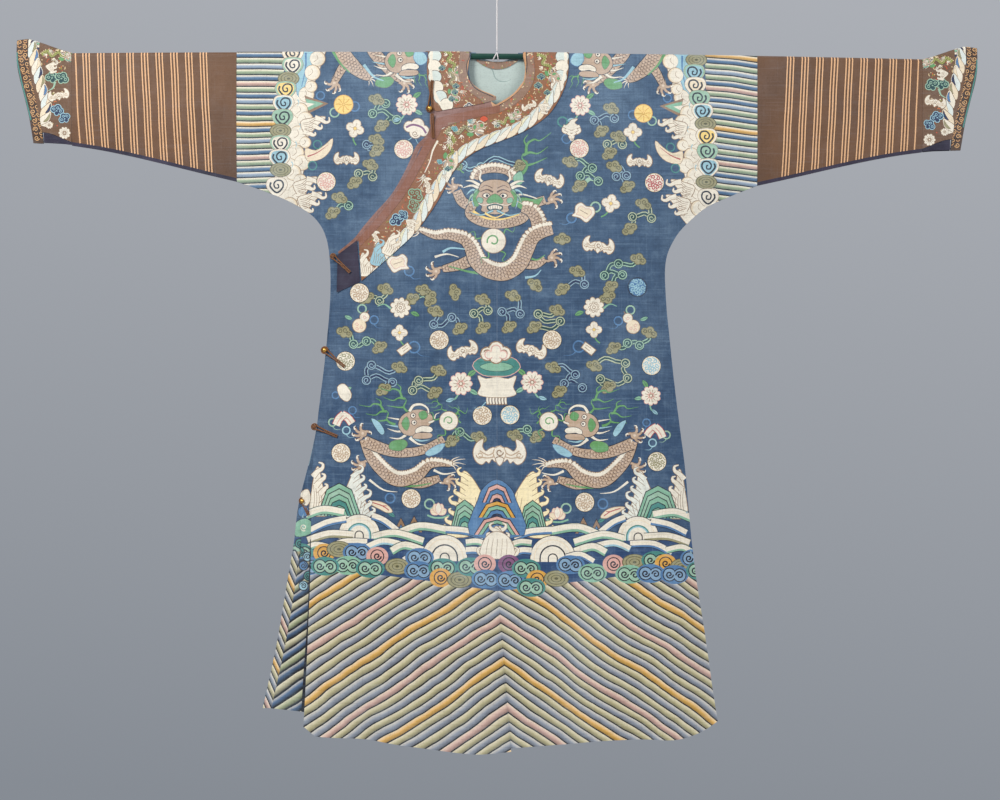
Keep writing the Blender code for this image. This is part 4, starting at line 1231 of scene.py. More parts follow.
def pearl(d, radius=12.0):
    for turn in (200, 330, 60, 120):
        f = d.at(0, 0, turn=turn)
        f.line([(radius - 1, 0), (radius + 5, -4), (radius + 9, 2), (radius + 14, -2)], 2.4, MINT_DARK, 0.3)
        f.line([(radius - 1, 0), (radius + 5, -4), (radius + 9, 2), (radius + 14, -2)], 1.6, LEAF, 0.2)
    d.disc(0, 0, radius + 0.7, TAN_SILK, count=26)
    d.disc(0, 0, radius, CREAM, count=26)
    d.spiral(0, 0, radius * 0.55, LEAF, radius * 0.13, 0.95, 160, radius * 0.2)


def main_dragon(d):
    """The frontal dragon coiled round its pearl, its face at 0, 0."""
    dragon_body(d, [(-20, -18), (-16, -25), (-2, -28.5), (12, -26), (19, -19)], [6, 7.5, 6.5], -1)
    claw(d.at(-40, -10, 0.9, 190))
    dragon_body(d, [(-38, -6), (-33, 4), (-24, 10)], [9, 10, 9], 0)
    claw(d.at(56, 2, 1.0, -14))
    dragon_body(d, [(50, 2), (38, 6), (26, 8)], [8, 9, 9], 0)
    d.blob([(20, 4), (28, 0), (40, 2), (48, 0), (40, 10), (26, 12)], LEAF, BLACK, 0.4)
    d.line([(18, -1), (28, -3), (42, 1)], 2.2, CREAM, 0.8)
    dragon_body(
        d, [(-22, 8), (-25, 17), (-12, 24.5), (8, 26), (26, 21), (33, 12)], [8, 9, 9.5, 10, 10], 0,
    )
    d.line([(-22, 14), (-10, 20.5), (6, 22), (24, 17)], 2.6, STRAW, 1.0)
    claw(d.at(56, 60, 1.0, -8))
    dragon_body(d, [(28, 66), (40, 67), (50, 61)], [9, 8, 6], 0)
    d.line([(34, 60), (42, 62), (50, 57)], 2.4, LEAF, 0.6)
    claw(d.at(-58, 74, 1.0, 172))
    dragon_body(d, [(-22, 62), (-36, 68), (-52, 72)], [12, 10, 6], 0)
    d.line([(-14, 76), (-28, 74), (-46, 69)], 3.2, LEAF, 0.8)
    tail_hair(d.at(-74, 33, 1.0, 176))
    dragon_body(d, [(27, 10), (36, 13), (42, 22), (44, 34)], [9, 12, 13, 14], -1)
    dragon_body(
        d,
        [(57, 31), (46, 34), (37, 40), (31, 52), (24, 66), (10, 75), (-6, 73), (-18, 64),
         (-24, 50), (-31, 42), (-46, 38), (-60, 39), (-76, 33)],
        [11, 13, 14, 15, 15.5, 15.5, 15.5, 15, 13, 11, 9, 6, 2.5], 1,
    )
    flame(d.at(25, -22, 1.0))
    flame(d.at(-31, -24, 0.42, -10, -1))
    d.blob([(18, -20), (26, -26), (28, -16), (22, -12)], JADE, MINT_DARK, 0.4)
    d.line([(-52, 55), (-44, 51), (-30, 52)], 2.6, SKY, 1.0)
    d.line([(-60, 60), (-48, 57), (-36, 60)], 2.4, CREAM, 0.6)
    d.line([(30, 80), (40, 78), (46, 72)], 2.6, SKY, 0.6)
    front_face(d)
    pearl(d.at(-1.5, 43.5))


def striding_dragon(d):
    """A dragon in profile that doubles back under its head, facing +x; the head is at 0, 0."""
    claw(d.at(-52, 14, 1.0, 190))
    claw(d.at(-53, 45, 1.0, 170))
    claw(d.at(31, 61, 0.95, 10))
    flame(d.at(-20, 5, 0.78, -26, -1))
    flame(d.at(-4, -6, 0.8, -16, -1))
    flame(d.at(31, -9, 0.42, -34, -1))
    flame(d.at(45, 3, 0.42, 0, -1))
    dragon_body(d, [(-14, 60), (6, 63), (24, 58)], [11, 10, 6], 0)
    d.line([(-18, 66), (0, 66), (16, 63)], 2.8, LEAF, 0.6)
    tail_hair(d.at(33, 45, 1.05, -6))
    dragon_body(
        d, [(-52, 20), (-46, 34), (-38, 45), (-25, 57), (-13, 60), (2, 55), (13, 45), (24, 43.5), (35, 45)],
        [7, 10, 12, 13, 13, 11.5, 9, 6, 3], -1,
    )
    dragon_body(d, [(-50, 22), (-30, 30), (-13, 33), (8, 30), (28, 19)], [11, 10.5, 9, 8, 7], 0)
    d.blob([(-44, -1), (-36, 3), (-31, 12), (-34, 15), (-40, 8)], SKY, BLACK, 0.4)
    d.blob([(10, 33), (20, 26), (29, 24), (24, 32), (14, 36)], SKY, STEEL, 0.4)
    d.line([(-46, 60), (-32, 70), (-18, 72)], 2.4, CREAM, 0.4)
    d.line([(18, 50), (28, 54), (40, 52)], 2.6, CREAM, 0.6)
    side_face(d)
    pearl(d.at(33, 1), 9.0)



def foam(d, height, lean=1.0, hooks=5, fill=CREAM, edge=TAN_SILK, wide=9.0):
    """Spray that stands up from a wave, with curled tips down one side."""
    curls = []
    for k in range(hooks):
        share = (k + 0.4) / hooks
        x, y = (-wide * 0.2 + wide * 1.7 * share) * lean, -height * (1.04 - share)
        r = 2.3 + 0.9 * math.sin(2.3 * k + 1)
        curls.append([(x - 5.5, y + 7), (x - 1.0, y + 2), (x + r, y - r * 0.2), (x + r * 1.2, y - 1.5 * r),
                      (x - r * 0.1, y - 2.0 * r)])
    body = [(-wide, 0), (-wide * 0.85, -height * 0.5), (-wide * 0.45, -height * 0.92), (-wide * 0.1, -height),
            (wide * 0.25, -height * 0.68), (wide * 0.7, -height * 0.38), (wide * 1.25, 0)]
    d.blob(body, fill, edge, 0.7)
    for curl in curls:
        d.line(curl, 6.0, edge, 1.6)
    for curl in curls:
        d.line(curl, 5.0, fill, 0.8)
    for k in range(6):
        x = -wide * 0.75 + k * wide * 0.28
        d.line([(x, -height * 0.06), (x + 1.6, -height * 0.3), (x + 0.6, -height * (0.62 - k * 0.07))], 0.45, edge)


def swell_band(d, line, width=6.0, under=JADE):
    """A long rounded wave, pale above and shaded below."""
    width = width * 1.25
    d.line(line, width + 1.2, BLACK, per=5)
    d.line(line, width, under, per=5)
    above = [(x, y - width * 0.14) for x, y in line]
    d.line(above, width * 0.70, CREAM, per=5)
    d.line([(x, y - width * 0.18) for x, y in line], 0.4, BONE, per=5)


def dome(d, radius, ring=TEAL, within=SKY):
    """A half disc of ringed water."""
    rings = ((1.0, BLACK), (0.97, CREAM), (0.82, BONE), (0.78, CREAM), (0.58, ring), (0.52, within),
             (0.46, CREAM), (0.22, BLACK), (0.17, CREAM))
    for share, colour in rings:
        angle = np.linspace(math.pi, 2 * math.pi, 15)
        ring = np.stack([radius * share * np.cos(angle), radius * share * np.sin(angle)], 1)
        d.shape(np.concatenate([ring, [(radius * share, 3.5), (-radius * share, 3.5)]]), colour)



def peak(d, wide, tall, colours):
    """A rock drawn as nested bands under a roof, parted by thin black lines."""
    for k, colour in enumerate(colours):
        for trim, fill in ((0.0, BLACK), (1.0, colour)):
            share = 1 - k / len(colours)
            w, h = wide * (0.12 + 0.88 * share) - trim, tall * share - trim
            d.shape([(-w, 0), (-w * 0.58, -h * 0.80), (0, -h), (w * 0.58, -h * 0.80), (w, 0)], fill)


def hill(d, colour=STEEL):
    """A small far peak with a tan border."""
    for share, fill in ((1.0, BLACK), (0.93, TAN_SILK), (0.62, BLACK), (0.56, colour)):
        d.shape([(-8.6 * share, 0), (0, -17 * share), (8.6 * share, 0)], fill)


def scroll_lobe(d, fill, mark=BLACK, size=1.0, pair=True):
    """Cloud scrolls: one or two fat curls side by side."""
    d = d.at(0, 0, size)
    places = ((-4.6, 0), (4.6, 0.6)) if pair else ((0, 0),)
    for x, y in places:
        d.disc(x, y, 6.2, mark)
    for x, y in places:
        d.disc(x, y, 5.3, fill)
    for n, (x, y) in enumerate(places):
        d.spiral(x, y, 3.6, mark, 1.3, 1.35, 180 * n)


def ringed_oval(d, size=1.0, fill=OLIVE, mark=OLIVE_DARK):
    d = d.at(0, 0, size)
    for share, colour in ((1.06, mark), (0.98, fill), (0.76, mark), (0.69, fill), (0.46, mark), (0.39, fill),
                          (0.16, mark)):
        d.disc(0, 0, 10.4 * share, colour, 6.8 * share, 22)


def spiral_cloud(d, fill, edge=CREAM, mark=BLACK):
    """The heart-shaped scroll of the shoulder column, with one dark line that winds inwards."""
    heart = [(0, 9.4), (-6.0, 5.2), (-9.2, -0.6), (-7.2, -6.0), (-2.0, -7.4), (2.0, -7.4), (7.2, -6.0),
             (9.2, -0.6), (6.0, 5.2)]
    d.blob([(x * 1.08, y * 1.06) for x, y in heart], edge, TAN_SILK, 0.4)
    d.blob([(x * 0.88, y * 0.88) for x, y in heart], fill)
    d.line([(-5.4, -3.4), (-6.0, 0.8), (0, 6.2), (5.8, 1.2), (5.2, -4.2), (0.4, -5.2), (-2.6, -2.2),
            (-1.6, 1.6), (1.6, 1.6), (1.6, -1.2), (0.2, -1.2)], 1.7, mark, 1.2)


# The fronts and the backs
# Lined tapestry silk in two lengths, one over each shoulder, with a second front lapped over
# the right one. The same ornament is woven on the back, with its own dragon and bats.
FRONT_CREASES = [  # x and drop of its ends, half width, height
    (-336, 604, -304, 674, 11.0, -2.4), (-304, 674, -280, 752, 12.0, -2.2),
    (-290, 683, -194, 703, 4.0, -1.0), (48, 1290, 330, 1294, 4.0, -1.2),
    (-232, 1128, -216, 1136, 5.0, 1.0), (-300, 330, -150, 470, 14.0, 1.6),
    (300, 330, 150, 500, 16.0, 1.8), (-420, 270, -330, 90, 10.0, 1.2),
    (-40, 560, -24, 900, 12.0, -0.9), (330, 560, 300, 900, 16.0, 1.3),
]
BACK_CREASES = [
    (300, 330, 140, 520, 15.0, 1.8), (-310, 330, -160, 480, 14.0, 1.6),
    (-20, 300, 8, 900, 13.0, -1.0), (-300, 1282, 60, 1290, 4.0, -1.2),
    (420, 270, 350, 90, 10.0, 1.3), (-340, 620, -290, 980, 16.0, 1.4),
]
FRONT_SEED, BACK_SEED = 0.4, 3.1
MIRROR = 997.5  # a place's number and that of its mirror image make this together

CLOUDS = [  # the two heads, then the curls between them
    ((377, 101), (382, 127), (386, 105), (373, 115), (397, 121)),
    ((377, 141), (377, 152), (367, 146)),
    ((371, 166), (355, 184), (373, 178), (359, 175)),
    ((340, 199), (333, 214), (349, 207)),
    ((436, 312), (460, 329), (434, 325), (452, 318)),
    ((483, 300), (483, 328), (488, 311), (474, 314)),
    ((345, 333), (380, 348), (354, 345), (367, 342)),
    ((400, 368), (384, 390), (372, 366), (367, 381), (393, 383)),
    ((439, 371), (435, 393), (419, 381), (413, 391)),
    ((479, 437), (452, 441), (460, 432)),
    ((513, 296), (509, 327), (520, 314), (502, 312)),
    ((557, 310), (534, 327), (538, 314), (560, 321)),
    ((649, 331), (613, 347), (639, 344), (627, 342)),
    ((553, 367), (559, 391), (575, 374), (564, 383), (582, 387)),
    ((594, 365), (608, 386), (625, 362), (627, 377), (600, 378)),
    ((515, 435), (537, 436), (527, 429)),
    ((611, 108), (601, 131), (614, 118), (594, 120)),
    ((618, 136), (609, 153), (622, 144), (607, 144)),
    ((570, 162), (579, 186), (592, 168), (580, 176), (598, 181)),
    ((614, 166), (627, 186), (626, 175), (616, 176)),
    ((643, 203), (629, 228), (651, 217), (632, 216)),
    ((638, 258), (610, 286), (618, 263), (604, 275), (622, 274)),
    ((577, 271), (562, 289), (584, 284)),
    ((386, 290), (367, 299), (380, 302)),
    ((424, 291), (412, 300), (430, 300)),
]
LONE_PUFFS = [(562, 239), (535, 285), (455, 293), (431, 300), (607, 297)]

MEDALLIONS = [  # place, marks
    (326.7, 183, ROSE), (404, 150.5, ROSE), (579, 148.5, ROSE), (654, 181.6, RED), (360, 294, FAINT),
    (439.4, 340.6, FAINT), (346, 362, OLIVE), (551.8, 339.6, FAINT), (651, 364, SKY),
    (482.4, 415.5, FAINT), (510, 414.7, SKY), (341.7, 453.5, FAINT), (656.4, 459.6, OLIVE),
    (411.6, 498.6, FAINT), (584.3, 500.8, FAINT),
]
BATS = [  # place, size, turn
    (347, 161, 1.15, 0), (639, 161, 1.15, 2), (549, 180, 1.35, 16), (598, 246, 1.45, 8),
    (463, 352, 1.4, -18), (531, 350, 1.4, 18), (499.6, 454, 2.4, 0),
]
EMBLEMS = [  # what, place, size, turn, flip
    (blossom, 355.5, 130, 1.6, 20, 1), (blossom, 632.5, 131.5, 1.6, 0, 1),
    (blossom, 610.4, 203, 1.6, 12, -1), (blossom, 400, 333.6, 1.4, 0, 1), (blossom, 593.6, 329, 1.4, 0, 1),
    (peony, 407, 106, 1.25, 0, 1), (peony, 580, 105.5, 1.2, 0, 1), (peony, 461, 384, 1.35, 0, 1),
    (peony, 532, 382, 1.3, 0, -1), (peony, 650.5, 394, 1.15, 20, -1), (conch, 571.3, 131, 1.0, 0, 1),
    (mushroom, 416.8, 130, 1.15, 16, 1), (coin, 344, 106, 1.0, 0, 1), (coin, 643, 112.5, 0.95, 0, -1),
    (plaque, 398, 264, 1.25, -10, 1), (plaque, 584, 212, 1.25, 20, -1), (gourd, 362.5, 322, 1.1, 0, 1),
    (gourd, 630, 321, 1.1, 0, -1), (lotus, 400.8, 308.7, 1.15, 0, 1), (lotus, 593.6, 306.7, 1.15, 0, -1),
    (rolled_scroll, 405, 349, 1.05, 0, 1), (rolled_scroll, 588, 347, 1.05, 0, -1),
    (small_lotus, 438.7, 509.4, 1.1, 0, 1), (small_lotus, 557, 512.7, 1.1, 0, -1),
    (horn, 383, 507, 1.1, 0, 1), (horn, 610, 511, 1.1, 0, -1), (sceptre, 344, 419, 1.0, 0, 1),
    (sceptre, 655, 429, 1.0, 0, -1),
]
SHOULDER_LEFT = [  # the column of scrolls: place and colour
    (293, 55, BONE), (293, 67, CREAM), (289, 80, OLIVE), (286, 91, STRAW), (284, 105, SKY),
    (283, 119, MINT), (281, 132, OLIVE), (281, 145, CREAM), (280, 159, SKY), (281, 171, OLIVE),
    (277, 187, CREAM),
]
SHOULDER_RIGHT = [
    (696, 58, OLIVE), (694, 71, SKY), (695, 84, BONE), (699, 97, MINT), (702, 110, SKY),
    (705, 122, OLIVE), (706, 135, STRAW), (707, 150, MINT), (708, 165, SKY), (706, 180, OLIVE),
    (708, 195, CREAM),
]


def shoulder_waves(d, column):
    """Cream waves that break from the column of scrolls at the top of a sleeve."""
    d.blob(
        [(290, 46), (324, 46), (322, 64), (313, 88), (306, 112), (307, 132), (301, 152), (304, 172),
         (300, 188), (310, 208), (296, 224), (276, 208), (280, 120), (288, 80)], CREAM, TAN_SILK, 0.6,
    )
    d.blob([(300, 50), (314, 52), (312, 66), (306, 84), (301, 98), (297, 92), (298, 70)], SKY, STEEL, 0.5)
    d.line([(306, 54), (306, 70), (302, 88)], 2.0, STEEL, 0.6)
    for x, y, radius in (
        (318, 60, 8), (313, 74, 8), (307, 96, 8), (312, 88, 6), (301, 112, 8), (306, 121, 8), (299, 136, 9),
        (306, 144, 6), (297, 154, 8), (303, 164, 8), (294, 174, 8), (301, 182, 7), (296, 194, 8), (290, 206, 8),
    ):
        d.disc(x, y, radius, TAN_SILK)
        d.disc(x - 0.3, y, radius - 0.5, BONE)
        d.disc(x - 1.3, y, radius - 1.4, CREAM)
        d.line([(x - radius * 0.5, y + radius * 0.4), (x, y), (x - 1, y - radius * 0.5)], 0.4, TAN_SILK)
    for x, y in ((300, 128), (296, 146), (292, 166), (298, 104)):
        d.line([(x, y - 3), (x + 1.4, y), (x, y + 3)], 1.1, SKY, 0.4)
    for x, y, turn in ((304, 130, 66), (297, 192, 60), (301, 206, 64)):
        foam(d.at(x, y, 1.0, turn), 24, 1, 3, wide=7)
    d.shape([(305, 97), (329, 105), (309, 115)], TAN_SILK)
    d.shape([(306, 100), (324, 105), (309, 112)], JADE)
    d.shape([(306, 104), (315, 105.4), (308, 109)], CREAM)
    d.blob([(306, 150), (316, 152), (326, 146), (333, 140), (331, 151), (322, 160), (308, 162)], BONE, TAN_SILK, 0.5)
    d.line([(308, 158), (318, 154), (329, 146)], 1.4, RED, 0.3)
    d.loop(321, 97, 4.6, STEEL, 1.2)
    d.loop(318, 146, 4.6, TEAL, 1.1)
    d.loop(313, 167, 4.8, TEAL, 1.1)
    for n, (x, y, colour) in enumerate(column):
        if colour == OLIVE:
            ringed_oval(d.at(x, y, 1.0))
        else:
            spiral_cloud(d.at(x, y, 1.06), colour, MINT if n % 2 else CREAM)


def shoulder_dragon(d):
    """What shows of the dragon that lies over a shoulder: its coils, feet and head."""
    claw(d.at(335, 84, 1.0, 110))
    claw(d.at(404, 84, 1.0, 40))
    dragon_body(d, [(348, 62), (341, 72), (336, 82)], [9, 8, 6], 0)
    tail_hair(d.at(366, 79, 1.0, 26))
    dragon_body(d, [(336, 38), (343, 54), (353, 67), (364, 76), (371, 80)], [12, 14, 14, 10, 4], 0)
    d.line([(333, 52), (340, 64), (350, 74)], 3.0, LEAF, 1.0)
    dragon_body(d, [(368, 40), (375, 54), (385, 66), (394, 76), (401, 81)], [12, 12, 11, 9, 6], 0)
    d.line([(391, 66), (398, 74)], 3.0, LEAF, 1.0)
    flame(d.at(409, 72, 0.5, 96))
    side_face(d.at(402, 58, 1.0, 0))
    d.blob([(416, 52), (424, 54), (427, 62), (420, 66), (414, 60)], SKY, STEEL, 0.5)
    d.line([(364, 66), (374, 78), (384, 82)], 3.2, SKY, 0.8)


def sea_half(d):
    """Half of the sea below the dragons: rock, spray, rolling waves and ringed domes."""
    foam(d.at(320, 514, 1.1), 42, 1, 5, CREAM, wide=8)
    foam(d.at(354, 516, 1.0, 8), 46, 1, 6, dye(222, 226, 218), wide=13)
    peak(d.at(340, 516), 22, 33, [JADE, MINT, JADE, TEAL, JADE, MINT_DARK])
    foam(d.at(475, 531, 1.0, -14, -1), 60, 1, 7, dye(240, 226, 184), wide=20)
    peak(d.at(465, 531), 15, 32, [JADE, MINT, JADE, TEAL, JADE, MINT_DARK])
    hill(d.at(401.5, 534))
    hill(d.at(414.6, 532))
    dome(d.at(360, 535), 21)
    for line, width, under in (
        ([(306, 516), (324, 510), (345, 513)], 6.4, JADE), ([(311, 531), (328, 523), (347, 519)], 5.6, STEEL),
        ([(373, 516), (385, 521), (398, 531)], 5.6, STEEL), ([(398, 534), (420, 526), (448, 530)], 6.4, JADE),
        ([(446, 529), (468, 531), (484, 537)], 5.8, STEEL), ([(308, 541), (330, 534), (354, 535)], 6.0, OLIVE),
        ([(374, 537), (396, 533), (424, 541)], 6.0, JADE), ([(326, 551), (344, 542), (368, 542)], 5.4, STEEL),
        ([(368, 547), (384, 541), (404, 545)], 5.2, SKY), ([(304, 551), (316, 545), (332, 548)], 5.0, JADE),
        ([(466, 542), (478, 541), (490, 546)], 5.0, JADE), ([(392, 551), (406, 545), (428, 552)], 6.2, JADE),
    ):
        swell_band(d, line, width, under)
    dome(d.at(445, 557), 23, BLACK, CREAM)
    for line, width, under in (
        ([(466, 550), (478, 550), (492, 558)], 5.6, STEEL), ([(404, 560), (418, 553), (432, 556)], 5.0, STEEL),
    ):
        swell_band(d, line, width, under)


LOBES = [  # the cloud scrolls above the stripes: place, colour, or None for a ringed oval
    (300, 553, TEAL), (308, 566, STEEL), (325, 553, AMBER), (340, 549, None), (358, 552, STEEL),
    (349, 565, JADE), (326, 566, TEAL), (378, 556, ROSE), (371, 568, TEAL), (398, 566, None),
    (420, 557, STEEL), (419, 570, STEEL), (443, 567, TEAL), (441, 577, AMBER), (460, 579, None),
    (471, 566, TEAL), (485, 563, ROSE), (486, 578, STEEL),
    (509, 563, PLUM), (510, 579, STEEL), (526, 567, TEAL), (537, 578, AMBER), (556, 577, None),
    (531, 586, TEAL), (570, 563, STEEL), (592, 571, JADE), (613, 562, ROSE), (634, 560, None),
    (629, 572, JADE), (655, 558, TEAL), (665, 561, AMBER), (650, 571, STEEL), (682, 564, None),
    (694, 556, STEEL), (674, 572, STEEL), (700, 568, TEAL),
]


GROUNDS = {TEAL: MINT, JADE: MINT, STEEL: dye(128, 160, 190)}  # a scroll's colour on its ground


def sea_and_hem(d):
    """The sea, the rocks at its middle, the cloud scrolls, and the stripes down to the hem."""
    edge = [(200, 568), (330, 569), (420, 579), (497, 590), (575, 580), (650, 570), (800, 562)]
    d.shape([(800, 530), (200, 530)] + edge, dye(46, 72, 112))
    sea_half(d)
    sea_half(d.at(MIRROR, 0, flip=-1))
    d.blob([(470, 534), (478, 500), (484, 487), (497, 479), (510, 487), (516, 500), (524, 534)], STEEL, BLACK)
    peak(d.at(497, 502), 15, 19, [ROSE, STEEL, ROSE, NAVY])
    peak(d.at(497, 517), 19, 17, [AMBER, JADE, STEEL, NAVY])
    peak(d.at(497, 534), 23, 19, [ROSE, JADE, STEEL, NAVY, STEEL])
    for flip in (1, -1):
        foam(d.at(498, 556, 1.0, 8 * flip, flip), 30, 1, 4, CREAM, wide=12)
    d.blob([(482, 556), (484, 540), (492, 532), (502, 532), (511, 540), (513, 556)], CREAM, TAN_SILK)
    for k in range(5):
        d.line([(486 + 5 * k, 555), (487 + 5 * k, 546), (489 + 4.4 * k, 538)], 0.4, TAN_SILK)
    d.shape(edge + [(800, 800), (200, 800)], 1)
    for x, y, colour in LOBES:
        if colour is None:
            ringed_oval(d.at(x, y, 1.15))
            continue
        single = colour in (AMBER, ROSE, PLUM)
        d.disc(x, y, 11.0 if single else 14.4, colour, 9.4, 24)
        scroll_lobe(d.at(x, y, 1.12), GROUNDS.get(colour, colour), BLACK, 1.0, not single)


def centre_emblem(d):
    """A stand of leaves, bowl and fringe under a cloud-shaped head."""
    d.line([(486, 402), (480, 408), (474, 408)], 1.0, SKY, 0.3)
    for x in range(488, 508, 3):
        d.line([(x, 394), (x - 0.6, 400), (x, 405)], 2.6, TAN_SILK)
        d.line([(x, 394), (x - 0.6, 400), (x, 404)], 1.8, CREAM)
    d.blob([(478, 376), (486, 379), (497, 377), (508, 379), (516, 376), (513, 387), (516, 394), (506, 397),
            (488, 397), (478, 394), (481, 386)], CREAM, TAN_SILK)
    d.blob([(473, 366), (482, 358), (497, 362), (512, 358), (520, 367), (510, 375), (497, 376), (483, 375)],
           TEAL, ROSE, 0.8)
    d.blob([(480, 367), (490, 363), (504, 363), (513, 367), (504, 371), (490, 371)], JADE, MINT_DARK, 0.4)
    puff(d, 496, 353, 2.3, 0, CREAM, TAN_SILK)
    for x, y, radius in ((489, 355, 4.6), (503, 355, 4.6), (496, 350, 5.2)):
        d.disc(x, y, radius, ROSE)
        d.disc(x, y, radius - 1.0, CREAM)
    d.disc(496, 354, 5.0, CREAM)


def body_front():
    d = Drawing()
    d.shape([(160, 30), (288, 30), (280, 120), (276, 190), (272, 230), (160, 230)], 2)
    d.shape([(704, 30), (834, 30), (834, 230), (716, 230), (712, 190), (706, 110)], 2)
    shoulder_waves(d, SHOULDER_LEFT)
    shoulder_waves(d.at(988, 0, flip=-1), [(988 - x, y, c) for x, y, c in SHOULDER_RIGHT])
    shoulder_dragon(d)
    shoulder_dragon(d.at(MIRROR, 0, flip=-1))
    for heads_and_curls in CLOUDS:
        n = CLOUDS.index(heads_and_curls)
        pair = ((MINT, MINT_DARK), (HAZE, NAVY), (PALE_MOSS, MINT_DARK))[n % 3]
        cloud(d, heads_and_curls[:2], heads_and_curls[2:], *pair)
    for n, (x, y) in enumerate(LONE_PUFFS):
        puff(d, x, y, 1.3, 40 * n)
    for what, x, y, size, turn, flip in EMBLEMS:
        what(d.at(x, y, size, turn, flip))
    for x, y, marks in MEDALLIONS:
        medallion(d.at(x, y), CREAM, marks)
    medallion(d.at(637, 286, 1.0), STEEL, SKY, BLUE)
    leaf(d, 345, 392, 1.0, -30, JADE)
    d.loop(336, 396, 4.0, STEEL, 1.1)
    d.blob([(338, 388), (345, 385), (352, 395), (348, 402), (341, 398)], CREAM, TAN_SILK)
    for x, y, size, turn in BATS:
        bat(d.at(x, y, size, turn), rim=0.8 / size)
    centre_emblem(d)
    cloud(d, [(455, 166), (520, 166)], [(463, 166), (481, 168)], SKY, NAVY)
    main_dragon(d.at(495, 198))
    striding_dragon(d.at(416, 420))
    striding_dragon(d.at(581.5, 420, flip=-1))
    sea_and_hem(d)
    d.shape([(430, 108), (500, 97), (514, 104), (500, 116), (430, 126)], EDGE_BROWN)
    d.line([(526, 46), (526, 58), (526, 68), (522, 84), (513, 95), (502, 102), (492, 106)], 9.0, PIPING)
    d.line([(436, 116), (430, 136), (418.6, 148.5), (412, 164), (402, 184), (392, 199.5), (378, 215),
            (366, 229), (356, 241.6), (339.5, 255)], 5.0, EDGE_BROWN)
    return d.shapes


def stripes_below(y, silk, right=560):
    """Stripes on the parts that show past the lapped front's edge, with dark curls above them and a black band of
    painted shadow along that edge.
    """
    d = Drawing()
    d.shape([(200, y), (right, y), (right, 800), (200, 800)], silk)
    for n, (x, low) in enumerate(((300, y - 8), (308, y - 3), (304, y + 6), (309, y + 16), (304, y + 26))):
        d.disc(x, low, 5.2, BLACK)
        d.disc(x, low, 4.2, (TEAL, SKY, STEEL)[n % 3])
        d.spiral(x, low, 3.2, BLACK, 1.0, 1.5, 140 * n)
    # Painted shadow: a black band where the lapped front's edge shades the layer below.
    d.line([(313, y - 20), (311, y + 50), (307, y + 110), (304, y + 165)], 5.0, BLACK)
    d.blob([(301, 494), (308, 490), (311, 499), (307, 506), (302, 503)], CREAM, TAN_SILK)
    d.blob([(299, 509), (307, 507), (309, 515), (300, 517)], STEEL, BLACK)
    d.blob([(295, 525), (305, 519), (313, 524), (311, 534), (296, 537)], JADE, BLACK)
    d.spiral(304, 528, 3.6, CREAM, 1.0, 1.5, 60)
    return d.shapes


def body_back():
    """The back's weaving: the same order of ornament, set out evenly about its middle."""
    d = Drawing()
    half = [row for row in CLOUDS if row[0][0] < 497 and row[0][1] > 320]
    for m in (d, d.at(994, 0, flip=-1)):
        m.shape([(160, 30), (288, 30), (280, 120), (276, 190), (272, 230), (160, 230)], 2)
        shoulder_waves(m, SHOULDER_LEFT)
        shoulder_dragon(m)
        for n, row in enumerate(half):
            cloud(m, row[:2], row[2:], *((HAZE, NAVY), (MINT, MINT_DARK), (PALE_MOSS, MINT_DARK))[n % 3])
        for row in (((452, 108), (446, 130), (440, 116)), ((377, 120), (382, 146), (388, 130), (372, 134)),
                    ((366, 170), (352, 190), (374, 182)), ((380, 212), (360, 228), (386, 224)),
                    ((344, 262), (352, 288), (362, 270)), ((395, 290), (418, 300), (404, 304)),
                    ((444, 292), (470, 300), (456, 306)), ((478, 118), (486, 140), (490, 128))):
            cloud(m, row[:2], row[2:])
        for what, x, y, size in ((blossom, 356, 108, 1.0), (peony, 416, 110, 1.25), (plaque, 402, 262, 1.2),
                                 (gourd, 362, 322, 1.1), (lotus, 401, 309, 1.1), (peony, 461, 384, 1.3),
                                 (rolled_scroll, 405, 349, 1.0), (small_lotus, 440, 510, 1.1),
                                 (horn, 384, 508, 1.1), (sceptre, 344, 419, 1.0), (blossom, 408, 196, 1.1)):
            what(m.at(x, y, size))
        for x, y in ((327, 183), (404, 152), (438, 176), (360, 296), (440, 341), (346, 362), (482, 415),
                     (342, 454), (412, 498), (428, 262)):
            medallion(m.at(x, y), CREAM, TAN_SILK if x % 2 else ROSE)
        for x, y, size, turn in ((347, 150, 1.2, 0), (462, 352, 1.4, -18), (376, 250, 1.3, 10),
                                 (446, 148, 1.3, -14)):
            bat(m.at(x, y, size, turn))
        striding_dragon(m.at(416, 420))
    bat(d.at(497, 454, 2.4), rim=0.3)
    centre_emblem(d)
    main_dragon(d.at(497, 190, flip=-1))
    sea_and_hem(d)
    return d.shapes


def declare(outline, rounds):
    """Works out a cloth's flat size, and the length and mean width of one that is a curved strip, and keeps none of
    it.
    """
    ring = np.array(outline) * MM
    width, length = ring.max(0) - ring.min(0)
    area = abs(signed_area(ring)) * rounds
    if area < 0.4 * width * length * rounds:
        length = np.hypot(*(ring - np.roll(ring, 1, 0)).T).sum() / 2
        width = area / length / rounds


def sheet(name, node, side, shapes, slot, paints, ground, held="hung", rests_on=("rod",), **hanging):
    """A cloth on one side of the robe."""
    form = Form(node, side, level_top)
    mesh = hang(name, form, shapes, paints, ground, **hanging)
    piece = link(name, mesh, slot, node)
    declare(form.outline, 1)
    return piece


